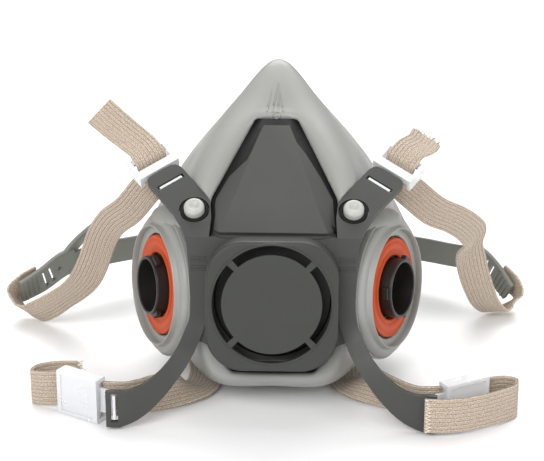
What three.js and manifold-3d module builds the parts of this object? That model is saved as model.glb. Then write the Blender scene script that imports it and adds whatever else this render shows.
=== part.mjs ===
// A reusable half-face respirator, lying on its chin with its straps loose around it.
// Millimetres. +X is across the face, +Y points back towards the face, +Z is up and the floor is Z = 0.
// The mask itself is drawn upright in its own frame (origin at the middle of the valve cover's face)
// and then pitched back as one group. The straps, buckles and cradle are drawn as they lie on the floor.
import * as THREE from "three";
import { mergeVertices } from "three/addons/utils/BufferGeometryUtils.js";
import Module from "manifold-3d";

const wasm = await Module();
wasm.setup();

// ---- Driving dimensions ----
const PITCH = THREE.MathUtils.degToRad(10);
const VALVE_HEIGHT = 52;
const GAP = 0.3;

const COVER_HALF = 27;
const COVER_CORNER = 15.5;
const COVER_DROP = 1;
const COVER_DEPTH = 11;
const COVER_WALL = 1.8;
const SLOT_OUTER = 24.3;
const SLOT_INNER = 20.5;
const SPOKE_WIDTH = 2.4;

const YOKE_FRONT = 11.4;
const YOKE_THICKNESS = 2.4;
const FOLD = 25.57;
const FRAME_SEAT = 14.2;
const FRAME_THICKNESS = 2.6;

const PORT = new THREE.Vector3(52.5, 39, -0.5);
const PORT_TURN = THREE.MathUtils.degToRad(63.5);
const PORT_RIM = 26.6;
const GASKET_OUTER = 21.4;
const GASKET_INNER = 13.8;
const TUBE_OUTER = 12.7;
const TUBE_INNER = 11.2;

const STUD = new THREE.Vector3(33, 22, 34.5);
const TAB_END = new THREE.Vector3(47.9, 36.1, 48.6);
const TAB_SLOT_BACK = 7.2;
const TAB_THICKNESS = 2.5;

const STRAP_WIDTH = 15.2;
const UPPER_STRAP_WIDTH = 14.2;
const STRAP_THICKNESS = 1.4;
const BUCKLE_WIDTH = 19.2;

const COLOURS = {
  elastomer: 0xbcbcb4,
  panel: 0x565854,
  cover: 0x6e706c,
  yoke: 0x676965,
  stud: 0xc9c9c4,
  port: 0x1f2020,
  gasket: 0xe06232,
  flap: 0xd8b070,
  seat: 0x7a7c78,
  buckle: 0xeef0f2,
  strap: 0xb9a48c,
  cradle: 0x82857d,
  clip: 0x4c4e4b,
};

const vec = (x, y, z) => new THREE.Vector3(x, y, z);

// ---- Closed solids from rings of points ----
function closedGeometry(points, faces) {
  let volume = 0;
  for (let i = 0; i < faces.length; i += 3) {
    const [a, b, c] = [points[faces[i]], points[faces[i + 1]], points[faces[i + 2]]];
    volume += a.dot(b.clone().cross(c));
  }
  const ordered = volume > 0 ? faces : faces.slice().reverse();
  const geometry = new THREE.BufferGeometry().setFromPoints(points);
  geometry.setIndex(ordered);
  return geometry;
}

// The same surface with its shared points merged and its faces pointing out.
function sealed(geometry) {
  const bare = geometry.clone();
  bare.deleteAttribute("normal");
  bare.deleteAttribute("uv");
  const merged = mergeVertices(bare, 1e-5);
  const spots = merged.attributes.position;
  const points = Array.from({ length: spots.count }, (_, i) => vec().fromBufferAttribute(spots, i));
  const index = Array.from(merged.index.array);
  const faces = [];
  for (let i = 0; i < index.length; i += 3) {
    const [a, b, c] = index.slice(i, i + 3);
    if (a !== b && b !== c && c !== a) {
      faces.push(a, b, c);
    }
  }
  return closedGeometry(points, faces);
}

// Skins a list of closed rings, all with the same number of points. Either the first and last rings
// get flat ends, or the last ring joins the first again. One column of faces may be split along the other
// diagonal, which keeps the two sides of a twisted band apart.
function loft(rings, joined = false, turnedColumn = -1) {
  const n = rings[0].length;
  const faces = [];
  const bands = joined ? rings.length : rings.length - 1;
  for (let i = 0; i < bands; i++) {
    const here = i * n;
    const next = ((i + 1) % rings.length) * n;
    for (let j = 0; j < n; j++) {
      const k = (j + 1) % n;
      if (j === turnedColumn) {
        faces.push(here + j, here + k, next + j, here + k, next + k, next + j);
      } else {
        faces.push(here + j, here + k, next + k, here + j, next + k, next + j);
      }
    }
  }
  if (!joined) {
    const last = (rings.length - 1) * n;
    for (let j = 1; j < n - 1; j++) {
      faces.push(0, j + 1, j, last, last + j, last + j + 1);
    }
  }
  return closedGeometry(rings.flat(), faces);
}

// A flat band with a rectangular section. Each stop is { at, across, width }, and the stops are joined
// by a smooth curve with the given number of steps between each pair.
function band(stops, thickness, steps = 4, sharp = false) {
  const route = new THREE.CatmullRomCurve3(stops.map((stop) => stop.at), false, "centripetal");
  const count = sharp ? stops.length - 1 : (stops.length - 1) * steps;
  const rings = [];
  for (let i = 0; i <= count; i++) {
    const t = i / count;
    const place = t * (stops.length - 1);
    const before = stops[Math.min(Math.floor(place), stops.length - 2)];
    const after = stops[Math.min(Math.floor(place) + 1, stops.length - 1)];
    const mix = place - Math.min(Math.floor(place), stops.length - 2);
    const along = route.getTangent(t);
    const across = before.across.clone().lerp(after.across, mix);
    across.addScaledVector(along, -across.dot(along)).normalize();
    const normal = along.clone().cross(across).multiplyScalar(thickness / 2);
    across.multiplyScalar(THREE.MathUtils.lerp(before.width, after.width, mix) / 2);
    const at = route.getPoint(t);
    rings.push([
      at.clone().add(across).add(normal),
      at.clone().sub(across).add(normal),
      at.clone().sub(across).sub(normal),
      at.clone().add(across).sub(normal),
    ]);
  }
  return loft(rings, false, 2);
}

// ---- Joining and cutting ----
function toSolid(geometry) {
  const closed = sealed(geometry);
  const shape = new wasm.Mesh({
    numProp: 3,
    vertProperties: Float32Array.from(closed.attributes.position.array),
    triVerts: Uint32Array.from(closed.index.array),
  });
  return new wasm.Manifold(shape);
}

function toGeometry(solid) {
  const shape = solid.getMesh();
  const geometry = new THREE.BufferGeometry();
  geometry.setAttribute("position", new THREE.BufferAttribute(shape.vertProperties, 3));
  geometry.setIndex(new THREE.BufferAttribute(shape.triVerts, 1));
  return geometry;
}

function join(...geometries) {
  const solids = geometries.map(toSolid);
  return toGeometry(solids.slice(1).reduce((sum, solid) => sum.add(solid), solids[0]));
}

function cut(geometry, ...tools) {
  return toGeometry(tools.map(toSolid).reduce((left, tool) => left.subtract(tool), toSolid(geometry)));
}

// ---- Simple solids ----
function box(x0, x1, y0, y1, z0, z1) {
  const geometry = new THREE.BoxGeometry(x1 - x0, y1 - y0, z1 - z0);
  return geometry.translate((x0 + x1) / 2, (y0 + y1) / 2, (z0 + z1) / 2);
}

// A turned solid whose axis is +Y. The profile lists [radius, y] pairs.
function turned(profile, segments = 40) {
  return new THREE.LatheGeometry(profile.map(([r, y]) => new THREE.Vector2(r, y)), segments);
}

function disc(radius, y0, y1, segments = 40) {
  return turned([[0, y0], [radius, y0], [radius, y1], [0, y1]], segments);
}

function ring(inner, outer, y0, y1, segments = 40) {
  return turned([[inner, y0], [outer, y0], [outer, y1], [inner, y1], [inner, y0]], segments);
}

// A plate in the X-Z plane between two depths, from a shape drawn with x across and y up.
function plate(shape, y0, y1, curveSegments = 8) {
  const geometry = new THREE.ExtrudeGeometry(shape, { depth: y1 - y0, bevelEnabled: false, curveSegments });
  return geometry.rotateX(Math.PI / 2).translate(0, y1, 0);
}

function roundedRect(halfWidth, bottom, top, radius) {
  const shape = new THREE.Shape();
  shape.moveTo(halfWidth, bottom + radius);
  shape.lineTo(halfWidth, top - radius);
  shape.absarc(halfWidth - radius, top - radius, radius, 0, Math.PI / 2);
  shape.absarc(-halfWidth + radius, top - radius, radius, Math.PI / 2, Math.PI);
  shape.absarc(-halfWidth + radius, bottom + radius, radius, Math.PI, 1.5 * Math.PI);
  shape.absarc(halfWidth - radius, bottom + radius, radius, 1.5 * Math.PI, 2 * Math.PI);
  return shape;
}

function polygon(points) {
  return new THREE.Shape(points.map(([x, y]) => new THREE.Vector2(x, y)));
}

// ---- Frames that pieces are placed in ----
// u runs outwards, v across and w out of the front face.
function frameOf(origin, u, w) {
  const out = u.clone().normalize();
  const v = w.clone().cross(out).normalize();
  const normal = out.clone().cross(v).normalize();
  return new THREE.Matrix4().makeBasis(out, v, normal).setPosition(origin);
}

const mirrorX = new THREE.Matrix4().makeScale(-1, 1, 1);

function mirrored(geometry) {
  return sealed(geometry.clone().applyMatrix4(mirrorX));
}

// ---- The scene graph ----
const respirator = new THREE.Group();
const mask = new THREE.Group();
mask.rotation.x = -PITCH;
mask.position.z = VALVE_HEIGHT;
respirator.add(mask);

function place(parent, name, geometry, colour, roughness = 0.6) {
  const material = new THREE.MeshStandardMaterial({ color: COLOURS[colour], roughness, metalness: 0 });
  const mesh = new THREE.Mesh(sealed(geometry), material);
  mesh.name = name;
  parent.add(mesh);
  return mesh;
}

// ---- Port frame: +Y of a turned solid becomes the port's outward normal ----
function portFrame(side) {
  const turn = new THREE.Matrix4().makeRotationZ(-side * (Math.PI - PORT_TURN));
  return turn.setPosition(side * PORT.x, PORT.y, PORT.z);
}

// ---- Facepiece ----
// Each ring is drawn by seven stations down the wearer's left half, from the nose to the chin,
// and is mirrored. The rings run from the front opening over the outside to the rear roll,
// round the inner sealing lip and back along the inside.
const FACE_RINGS = [
  [
    [0, 54.2, 66], [5, 53.4, 64.6], [20.5, 31.5, 37.5], [22, 19.4, 12],
    [22, 18.2, -12], [15, 18.2, -23], [0, 18.2, -24.5],
  ],
  [
    [0, 50.6, 71.8], [8.4, 49.4, 70.6], [27.2, 26.6, 41], [28.4, 15.8, 16],
    [28.2, 14.8, -14], [20, 14.2, -30], [0, 14, -31.5],
  ],
  [
    [0, 54, 75], [11, 50, 72], [30, 28, 44], [31.6, 15.2, 14],
    [31.6, 14.4, -15], [23, 13.6, -33], [0, 13.2, -34.5],
  ],
  [
    [0, 63, 87], [14, 56, 76], [34, 33, 46], [38, 26, 14],
    [37, 25, -17], [25, 20, -37], [0, 19, -38.5],
  ],
  [
    [0, 71, 93.5], [16.5, 63, 78.5], [38, 52, 48.5], [50, 46, 14],
    [46, 45, -18], [29, 36, -38.8], [0, 34, -42.6],
  ],
  [
    [0, 77, 93.5], [18.5, 73, 76], [42, 68, 46], [58, 68, 10],
    [53, 66, -19], [31, 56, -37], [0, 50, -44],
  ],
  [
    [0, 83, 89], [19.5, 83, 72.5], [44, 85, 43], [61, 87, 5],
    [54, 84, -17], [32, 75, -33], [0, 69, -39],
  ],
  [
    [0, 84, 85], [17.5, 85, 69], [41, 88, 41], [58, 90, 4],
    [51, 87, -16], [29, 78, -30.5], [0, 72, -36],
  ],
  [
    [0, 79, 74], [10, 81, 60], [28, 84, 35], [43, 87, 3],
    [37, 84, -13], [19, 77, -23.5], [0, 71, -28],
  ],
  [
    [0, 77, 75], [10.5, 79, 61.5], [29, 82, 36], [44.5, 85, 3],
    [38.5, 82, -14], [20, 75, -25], [0, 69, -29.5],
  ],
  [
    [0, 80, 86], [17, 81, 69.5], [40.5, 83, 41], [57.5, 85, 4.5],
    [50.5, 82, -15.5], [29.5, 73, -30.5], [0, 67, -36],
  ],
  [
    [0, 74, 90], [16, 71, 73.5], [39, 67, 44.5], [55, 67, 9.5],
    [50, 65, -17.5], [29, 55, -34], [0, 49.5, -40],
  ],
  [
    [0, 68, 89.5], [13.8, 63, 76], [35.2, 53, 46], [47, 47.5, 13.5],
    [43, 46.5, -16.5], [26.5, 37.5, -36], [0, 35.5, -39.5],
  ],
  [
    [0, 62, 82], [11, 58, 72], [31, 36, 43.5], [35, 29, 13],
    [34, 28, -15.5], [23, 23.5, -34], [0, 22.5, -36],
  ],
  [
    [0, 57, 67], [5.4, 56, 65.4], [21, 35, 38], [22.4, 23, 12],
    [22.4, 21.4, -12], [15.4, 21.4, -23], [0, 21.4, -24.5],
  ],
];

function faceRing(stations, count) {
  const left = stations.map(([x, y, z]) => vec(x, y, z));
  const right = left.slice(1, -1).reverse().map((p) => vec(-p.x, p.y, p.z));
  const curve = new THREE.CatmullRomCurve3([...left, ...right], true, "centripetal");
  const points = [];
  for (let i = 0; i < count; i++) {
    points.push(curve.getPoint(i / count));
  }
  return points;
}

function facepiece() {
  const shell = loft(FACE_RINGS.map((stations) => faceRing(stations, 40)), true);
  const pieces = [shell];
  const bores = [];
  for (const side of [1, -1]) {
    const frame = portFrame(side);
    const collar = turned([
      [0, 0], [PORT_RIM - 0.9, 0], [PORT_RIM, -0.3], [PORT_RIM + 0.8, -1.1], [PORT_RIM + 2.4, -1.9],
      [PORT_RIM + 3.6, -3.4], [PORT_RIM + 4.2, -5.6], [PORT_RIM + 4.6, -10], [PORT_RIM + 1.5, -15], [0, -15],
    ], 36);
    const bore = turned([
      [0, 2], [PORT_RIM - 1.5, 2], [PORT_RIM - 1.5, -2.8], [GASKET_OUTER + 0.5, -2.8],
      [GASKET_OUTER + 0.5, -4.4], [GASKET_OUTER + 2, -4.4], [GASKET_OUTER + 2, -6.6],
      [17.4, -6.6], [17.4, -8.8], [PORT_RIM, -8.8], [PORT_RIM + 1, -32], [0, -32],
    ], 36);
    const shoulder = new THREE.SphereGeometry(1, 20, 12).scale(16.6, 7.2, 7).translate(0, -9, 27);
    pieces.push(collar.applyMatrix4(frame), shoulder.applyMatrix4(frame));
    bores.push(bore.applyMatrix4(frame));
  }
  // The collars are trimmed inside so that they don't reach the valve or the face.
  const whole = join(...pieces);
  const valveRoom = plate(roundedRect(28.4, -31.2, 28, 15), 5, YOKE_FRONT + YOKE_THICKNESS + GAP);
  return cut(whole, ...bores, valveRoom, framePanel(0.8, 20), studBore(1), studBore(-1), yokeRelief());
}

// ---- Yoke ----
const tabUp = TAB_END.clone().sub(STUD).normalize();
const tabNormal = vec(0, -1, 1).normalize();
const tabSlot = TAB_END.clone().addScaledVector(tabUp, -TAB_SLOT_BACK);
const tabFrame = frameOf(tabSlot, tabUp, tabNormal);

const ARM_STOPS = [
  [30.3, 12.6, 8, 6.6, 1, 0, 0],
  [30.6, 12.6, -8, 7, 1, 0, 0],
];
const ARM_FLOOR_STOPS = [
  [32.8, 8.5, 35.5, 7.2, 0.95, 0.1, 0.3],
  [36.8, 2.6, 28, 7.2, 0.82, 0.1, 0.56],
  [42.6, -2, 20.8, 7.8, 0.66, 0.1, 0.75],
  [49.6, -5.4, 14.4, 10, 0.5, 0.05, 0.87],
  [57.4, -8.2, 10.2, 13.6, 0.22, 0, 0.97],
  [63, -9.2, 9.1, 16.4, 0, 0, 1],
  [67.6, -9.4, 9.1, 15.6, 0, 0, 1],
];
const ARM_SLOT = vec(64.1, -9.2, 9.7);

const toMask = new THREE.Matrix4().makeTranslation(0, 0, -VALVE_HEIGHT)
  .premultiply(new THREE.Matrix4().makeRotationX(PITCH));

function stops(rows, side = 1) {
  return rows.map(([x, y, z, width, ax, ay, az]) => ({
    at: vec(side * x, y, z),
    across: vec(side * ax, ay, az).normalize(),
    width,
  }));
}

function armStops() {
  const lower = stops(ARM_FLOOR_STOPS).map((stop) => ({
    at: stop.at.applyMatrix4(toMask),
    across: stop.across.transformDirection(toMask),
    width: stop.width,
  }));
  return [...stops(ARM_STOPS), ...lower];
}

function studBore(side) {
  const axis = new THREE.Matrix4().makeRotationX(-Math.PI / 4).setPosition(side * STUD.x, STUD.y, STUD.z);
  return disc(2.4 + GAP, -12, 12, 16).applyMatrix4(axis);
}

// The room that the facepiece leaves for the yoke plate and its tabs.
function yokeRelief() {
  const blade = yokeBlade(TAB_THICKNESS / 2 + GAP, 12);
  return join(box(-36.5, 36.5, -10, YOKE_FRONT + YOKE_THICKNESS + GAP, -22, 27), blade, mirrored(blade));
}

// The upper blade lies in the plane that leans back at 45 degrees from the top of the yoke plate.
// It is drawn with x across and the second number up the slope from the fold.
function yokeBlade(back = TAB_THICKNESS / 2, front = TAB_THICKNESS / 2) {
  const tab = new THREE.Shape();
  tab.moveTo(26.4, -1.4);
  tab.lineTo(25.8, 10);
  tab.lineTo(26.6, 18.2);
  tab.lineTo(38.6, 34.2);
  tab.bezierCurveTo(40.7, 37, 43.1, 37.3, 45.2, 35.7);
  tab.lineTo(51.7, 30.8);
  tab.bezierCurveTo(53.8, 29.2, 54.1, 27.6, 52.6, 25.6);
  tab.lineTo(41.8, 12);
  tab.lineTo(38, 5);
  tab.lineTo(35.8, -1.4);
  const depth = back + front;
  const blade = new THREE.ExtrudeGeometry(tab, { depth, bevelEnabled: false, curveSegments: 5 });
  blade.translate(0, 0, -back).rotateX(Math.PI / 4);
  return blade.translate(0, YOKE_FRONT + YOKE_THICKNESS / 2, 25);
}

function yoke() {
  const outline = [[27, FOLD], [35.8, FOLD], [34.6, 12], [34, 0], [34.2, -12], [31, -18], [12, -25.6]];
  const other = outline.slice().reverse().map(([x, z]) => [-x, z]);
  const shape = polygon([...outline, ...other, [-14, 24.5], [14, 24.5]]);
  const middle = plate(shape, YOKE_FRONT, YOKE_FRONT + YOKE_THICKNESS);
  const blade = cut(yokeBlade(), box(20, 45, 0, YOKE_FRONT, 20, FOLD + 0.1));
  const slot = box(-1.1, 1.1, -6.3, 6.3, -5, 5).applyMatrix4(tabFrame);
  const arm = band(armStops(), YOKE_THICKNESS, 3);
  const floorSlot = box(-1.5, 1.5, -6.3, 6.3, -5, 5);
  const armSlot = floorSlot.applyMatrix4(frameOf(ARM_SLOT, vec(1, 0, 0), vec(0, -1, 0))).applyMatrix4(toMask);
  const studHole = disc(6.4, -6, 6, 24)
    .applyMatrix4(new THREE.Matrix4().makeRotationX(-Math.PI / 4).setPosition(STUD));
  const whole = join(middle, blade, mirrored(blade), arm, mirrored(arm));
  const holes = [slot, armSlot, studHole];
  const middleHole = disc(24.3, YOKE_FRONT - 3, YOKE_FRONT + 3, 48);
  return cut(whole, middleHole, ...holes, ...holes.map(mirrored));
}

// ---- Front frame: the faceted nose panel and the valve plate ----
// Rows of [z, half width at the edge, half width at the ridge, depth at the ridge, depth at the edge].
const FRAME_ROWS = [
  [68.2, 7, 5.4, 47.5, 49.3],
  [39, 24.4, 17.2, 22.6, 27.2],
  [27.4, 25.6, 22.2, 12.9, 18.2],
  [26, 25.8, 22.2, FRAME_SEAT, 18.2],
  [24.5, 26.4, 22.6, FRAME_SEAT, FRAME_SEAT + 1],
  [-16, 26.4, 22.6, FRAME_SEAT, FRAME_SEAT + 1],
  [-25, 22, 19, FRAME_SEAT, FRAME_SEAT + 1],
  [-30.4, 15, 12.5, FRAME_SEAT, FRAME_SEAT + 1],
];

// The panel, or the room for it when it is grown by a gap and run forwards out of the facepiece.
function framePanel(grow = 0, forward = 0) {
  const back = FRAME_THICKNESS + (grow > 0 ? 5 * GAP : 0);
  const rings = FRAME_ROWS.map(([z, edge, ridge, ridgeY, edgeY], i) => {
    const level = z + (i === 0 ? grow : 0) - (i === FRAME_ROWS.length - 1 ? grow : 0);
    return [
      vec(-edge - grow, edgeY - forward, level), vec(-ridge, ridgeY - forward, level),
      vec(ridge, ridgeY - forward, level), vec(edge + grow, edgeY - forward, level),
      vec(edge + grow, edgeY + back, level), vec(ridge, ridgeY + back + 0.8, level),
      vec(-ridge, ridgeY + back + 0.8, level), vec(-edge - grow, edgeY + back, level),
    ];
  });
  return loft(rings);
}

function frontFrame() {
  return cut(framePanel(), disc(18, 0, 40, 48));
}

// ---- Exhalation valve ----
function coverShape(inset) {
  return roundedRect(COVER_HALF - inset, -COVER_HALF - COVER_DROP + inset, COVER_HALF - COVER_DROP - inset,
    COVER_CORNER - inset);
}

function ringSlot(start) {
  const shape = new THREE.Shape();
  const turn = Math.PI / 2 - SPOKE_WIDTH / SLOT_INNER;
  shape.absarc(0, 0, SLOT_OUTER, start, start + turn);
  shape.absarc(0, 0, SLOT_INNER, start + turn, start, true);
  return plate(shape, -5, COVER_WALL + 1, 9);
}

function exhalationCover() {
  const bevel = 1.6;
  const outer = new THREE.ExtrudeGeometry(coverShape(bevel), {
    depth: COVER_DEPTH - bevel, bevelEnabled: true, bevelThickness: bevel, bevelSize: bevel, bevelSegments: 2,
    curveSegments: 6,
  });
  // The bevel is kept on the front face only.
  outer.rotateX(Math.PI / 2).translate(0, COVER_DEPTH, 0);
  const trimmed = cut(outer, box(-40, 40, COVER_DEPTH, COVER_DEPTH + 10, -40, 40));
  const inside = plate(coverShape(COVER_WALL), COVER_WALL, COVER_DEPTH + 2, 6);
  const firstSlot = Math.PI / 4 + SPOKE_WIDTH / SLOT_INNER / 2;
  const slots = [0, 1, 2, 3].map((i) => ringSlot(firstSlot + (i * Math.PI) / 2));
  return cut(trimmed, inside, ...slots);
}

function spokes(hub, outer, width, y0, y1, count = 4) {
  const arms = [];
  for (let i = 0; i < count / 2; i++) {
    arms.push(box(-outer, outer, y0, y1, -width / 2, width / 2).rotateY((i * 2 * Math.PI) / count));
  }
  return [disc(hub, y0, y1, 20), ...arms];
}

function valveSeat() {
  const body = turned([
    [15, 8.6], [16.2, 8.6], [17.2, 10.5], [17.2, 11.7], [23.8, 11.7],
    [23.8, 13.8], [17.6, 13.8], [17.6, 17.2], [15, 17.2], [15, 8.6],
  ], 48);
  return cut(join(body, ...spokes(3.2, 15.6, 1.6, 10, 12.4)), disc(1.5, 0, 30, 16));
}

function flap(radius, y, stemEnd) {
  const near = Math.min(y, stemEnd);
  const far = Math.max(y + 0.8, stemEnd);
  return join(disc(radius, y, y + 0.8, 40), disc(1.1, near, far, 16));
}

// ---- Ports ----
function portBody() {
  const body = turned([
    [TUBE_INNER, 2.5], [TUBE_OUTER - 0.5, 2.5], [TUBE_OUTER, 2], [TUBE_OUTER, -4.6],
    [22.6, -4.6], [22.6, -6.3], [17, -6.3], [17, -13], [15.6, -13], [15.6, -7.6],
    [TUBE_INNER, -7.6], [TUBE_INNER, 2.5],
  ], 40);
  const lugs = [90, 210, 330].map((degrees) => {
    const lug = box(-2.6, 2.6, -0.8, 1.6, TUBE_OUTER - 0.6, TUBE_OUTER + 1.5);
    return lug.rotateY(THREE.MathUtils.degToRad(degrees));
  });
  const grid = spokes(3.2, 16.2, 1.6, -11.6, -9.8);
  return cut(join(body, ...lugs, ...grid), disc(1.5, -20, 5, 16));
}

// ---- Studs ----
function stud() {
  const profile = [
    [0, -7.5], [2.4, -7.5], [2.4, 0], [5.6, 0], [5.6, 1.1], [4.4, 1.3],
    [4.3, 3.1], [3.6, 4], [1.9, 4.3], [1.1, 3.8], [0, 3.6],
  ];
  return turned(profile, 24).rotateX(Math.PI).rotateX(-Math.PI / 4);
}

// ---- Buckles, in the frame of the slot that each hooks into ----
function buckle(bend, closed) {
  const leg = 3;
  const hookWidth = 5.4;
  const hookEnd = vec(leg * Math.sin(bend), 0, -leg * Math.cos(bend));
  const start = vec(-0.7 * Math.sin(bend), 0, 0.9 * Math.cos(bend));
  const across = vec(0, 1, 0);
  const width = 2 * hookWidth;
  const hook = band([
    { at: start, across, width },
    { at: hookEnd, across, width },
    { at: vec(10.5, 0, -2.6), across, width },
  ], 1.1, 1, true);
  const half = BUCKLE_WIDTH / 2;
  const rail = 1.6;
  const length = closed ? 29.5 : 19.8;
  const pieces = [
    hook,
    box(8.6, length, -half, -half + rail, -5.2, 1),
    box(8.6, length, half - rail, half, -5.2, 1),
    box(8.6, closed ? length : 12.4, -half, half, closed ? -0.6 : -1.4, closed ? 0.5 : 1),
    box(9, 10.6, -half + 0.5, half - 0.5, -3.15, 0),
  ];
  if (closed) {
    pieces.push(box(8.6, 11, -half, half, 0, 1));
    pieces.push(box(length - 2, length, -half, half, 0, 1));
    pieces.push(box(20, 22.5, -half, half, -5.2, -4.2));
  } else {
    pieces.push(box(17.2, length, -half, half, -1.4, 0.1));
  }
  return join(...pieces);
}

// ---- Assembly of the mask ----
place(mask, "face_seal", facepiece(), "elastomer", 0.65);
place(mask, "front_frame", frontFrame(), "panel", 0.55);
place(mask, "harness_yoke", yoke(), "yoke", 0.55);
place(mask, "exhalation_cover", exhalationCover(), "cover", 0.5);
place(mask, "valve_seat", valveSeat(), "seat", 0.5);
place(mask, "exhalation_flap", flap(16.8, 7.5, 14.5), "flap", 0.5);

for (const [side, name] of [[1, "left"], [-1, "right"]]) {
  const frame = portFrame(side);
  const studMesh = place(mask, `yoke_stud_${name}`, stud(), "stud", 0.45);
  studMesh.position.set(side * STUD.x, STUD.y, STUD.z);
  const port = place(mask, `inlet_port_${name}`, portBody(), "port", 0.45);
  port.applyMatrix4(frame);
  const gasketRing = ring(GASKET_INNER, GASKET_OUTER, -4.3, -2.3, 48);
  const gasket = place(mask, `inlet_gasket_${name}`, gasketRing, "gasket");
  gasket.applyMatrix4(frame);
  const inner = place(mask, `inhalation_flap_${name}`, flap(16.6, -14.2, -8.6), "flap", 0.5);
  inner.applyMatrix4(frame);
}

// ---- Buckles on the four slots ----
const toFloor = new THREE.Matrix4().makeTranslation(0, 0, VALVE_HEIGHT)
  .multiply(new THREE.Matrix4().makeRotationX(-PITCH));
const LOWER_BEND = THREE.MathUtils.degToRad(31);
const upperBuckleFrame = toFloor.clone().multiply(tabFrame);
const lowerBuckleFrame = frameOf(ARM_SLOT, vec(Math.cos(LOWER_BEND), Math.sin(LOWER_BEND), 0),
  vec(Math.sin(LOWER_BEND), -Math.cos(LOWER_BEND), 0));

const upperBuckle = buckle(0, false).applyMatrix4(upperBuckleFrame);
const lowerBuckle = buckle(LOWER_BEND, true).applyMatrix4(lowerBuckleFrame);
place(respirator, "buckle_upper_left", upperBuckle, "buckle", 0.35);
place(respirator, "buckle_upper_right", mirrored(upperBuckle), "buckle", 0.35);
place(respirator, "buckle_lower_left", lowerBuckle, "buckle", 0.35);
place(respirator, "buckle_lower_right", mirrored(lowerBuckle), "buckle", 0.35);

// ---- Straps ----
// A strap's stops inside a buckle are given in the buckle's own frame as [u, w] pairs.
function throughBuckle(frame, pairs, width, side = 1) {
  const across = vec(0, side, 0).transformDirection(frame);
  return pairs.map(([u, w]) => ({ at: vec(u, 0, w).applyMatrix4(frame), across, width }));
}

function strap(rows, width = STRAP_WIDTH) {
  return rows.map(([x, y, z, ax, ay, az]) => ({
    at: vec(x, y, z),
    across: vec(ax, ay, az).normalize(),
    width,
  }));
}

const upperRightFrame = frameOf(
  vec(0, 0, 0).applyMatrix4(upperBuckleFrame).multiply(vec(-1, 1, 1)),
  vec(1, 0, 0).transformDirection(upperBuckleFrame).multiply(vec(-1, 1, 1)),
  vec(0, 0, 1).transformDirection(upperBuckleFrame).multiply(vec(-1, 1, 1)),
);
const lowerRightFrame = frameOf(
  vec(-ARM_SLOT.x, ARM_SLOT.y, ARM_SLOT.z),
  vec(-Math.cos(LOWER_BEND), Math.sin(LOWER_BEND), 0),
  vec(-Math.sin(LOWER_BEND), -Math.cos(LOWER_BEND), 0),
);

const UPPER_THREAD = [[22.4, 1.9], [18.8, 1.7], [16.3, 0.8], [14.6, -2], [12.4, -3.9], [11, -5.6]];
const LOWER_THREAD = [[29.5, -2.4], [25.5, -2.4], [20, -2.6], [15, -3], [11, -4.4], [6, -6]];

const upperLeftStrap = [
  ...strap([
    [64, 62.5, 104.4, 0.7, -0.45, -0.55],
    [62.2, 58.4, 103.2, 0.75, -0.48, -0.45],
  ], UPPER_STRAP_WIDTH),
  ...throughBuckle(upperBuckleFrame, UPPER_THREAD, UPPER_STRAP_WIDTH, -1),
  ...strap([
    [51.6, 54, 87.6, 0.85, -0.35, 0.35],
    [58, 57, 81.6, 0.68, 0.06, 0.73],
    [68.3, 62, 71.6, 0.58, 0.12, 0.8],
    [78.1, 70, 64.8, 0.62, 0.03, 0.79],
    [85.1, 78, 57.8, 0.72, 0.15, 0.68],
    [88.6, 86, 50.6, 0.72, 0.45, 0.54],
    [87, 92, 42.8, 0.86, 0.42, 0.28],
    [88.1, 96, 35.9, 0.95, 0.12, 0.29],
    [90.1, 100, 27.7, 0.97, 0, 0.26],
    [93.2, 104.4, 18.2, 0.95, -0.19, 0.26],
    [97, 109, 9.4, 0.9, -0.33, 0.25],
    [102.5, 114, 3.6, 0.82, -0.5, 0.24],
    [108.4, 117.4, 4.6, 0.5, -0.75, 0.45],
    [112.2, 118.8, 8.4, 0.22, -0.55, 0.8],
    [111.2, 120.6, 13, 0.15, -0.47, 0.87],
    [105.2, 125.6, 17.8, 0.15, -0.45, 0.88],
  ], UPPER_STRAP_WIDTH),
];
const upperRightStrap = [
  ...strap([
    [-76, 62, 115, -0.74, -0.38, -0.55],
    [-70, 59.4, 110.6, -0.76, -0.43, -0.48],
    [-63.8, 56.6, 106.4, -0.79, -0.47, -0.38],
  ], UPPER_STRAP_WIDTH),
  ...throughBuckle(upperRightFrame, UPPER_THREAD, UPPER_STRAP_WIDTH),
  ...strap([
    [-51.6, 54, 87.6, -0.85, -0.35, 0.35],
    [-57, 57, 80.8, -0.68, 0.1, 0.71],
    [-64.5, 60, 71, -0.69, 0.04, 0.72],
    [-72.3, 66, 63.4, -0.73, 0.06, 0.68],
    [-77.3, 72, 55.3, -0.88, 0.05, 0.47],
    [-81, 77, 45.7, -0.93, 0.04, 0.37],
    [-84, 81, 37.4, -0.9, 0.09, 0.43],
    [-88.6, 85, 28, -0.89, -0.16, 0.44],
    [-94, 88, 21.5, -0.78, -0.3, 0.52],
    [-101, 91.5, 15.6, -0.7, -0.35, 0.58],
    [-109, 95, 9.4, -0.74, -0.2, 0.62],
    [-115.5, 99, 5.6, -0.84, -0.1, 0.5],
    [-121.8, 102.6, 7, -0.5, -0.52, 0.69],
    [-124.6, 104.8, 12, -0.22, -0.5, 0.84],
    [-121.8, 106.6, 15.6, -0.15, -0.45, 0.88],
    [-115.4, 112.4, 18, -0.15, -0.45, 0.88],
  ], UPPER_STRAP_WIDTH),
];
// The neck straps leave their buckles, pass behind the arms and run back flat under the chin.
function throughLowerBuckle(frame) {
  return throughBuckle(frame, LOWER_THREAD, STRAP_WIDTH).map((stop) => ({ ...stop, across: vec(0, 0, 1) }));
}

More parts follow.
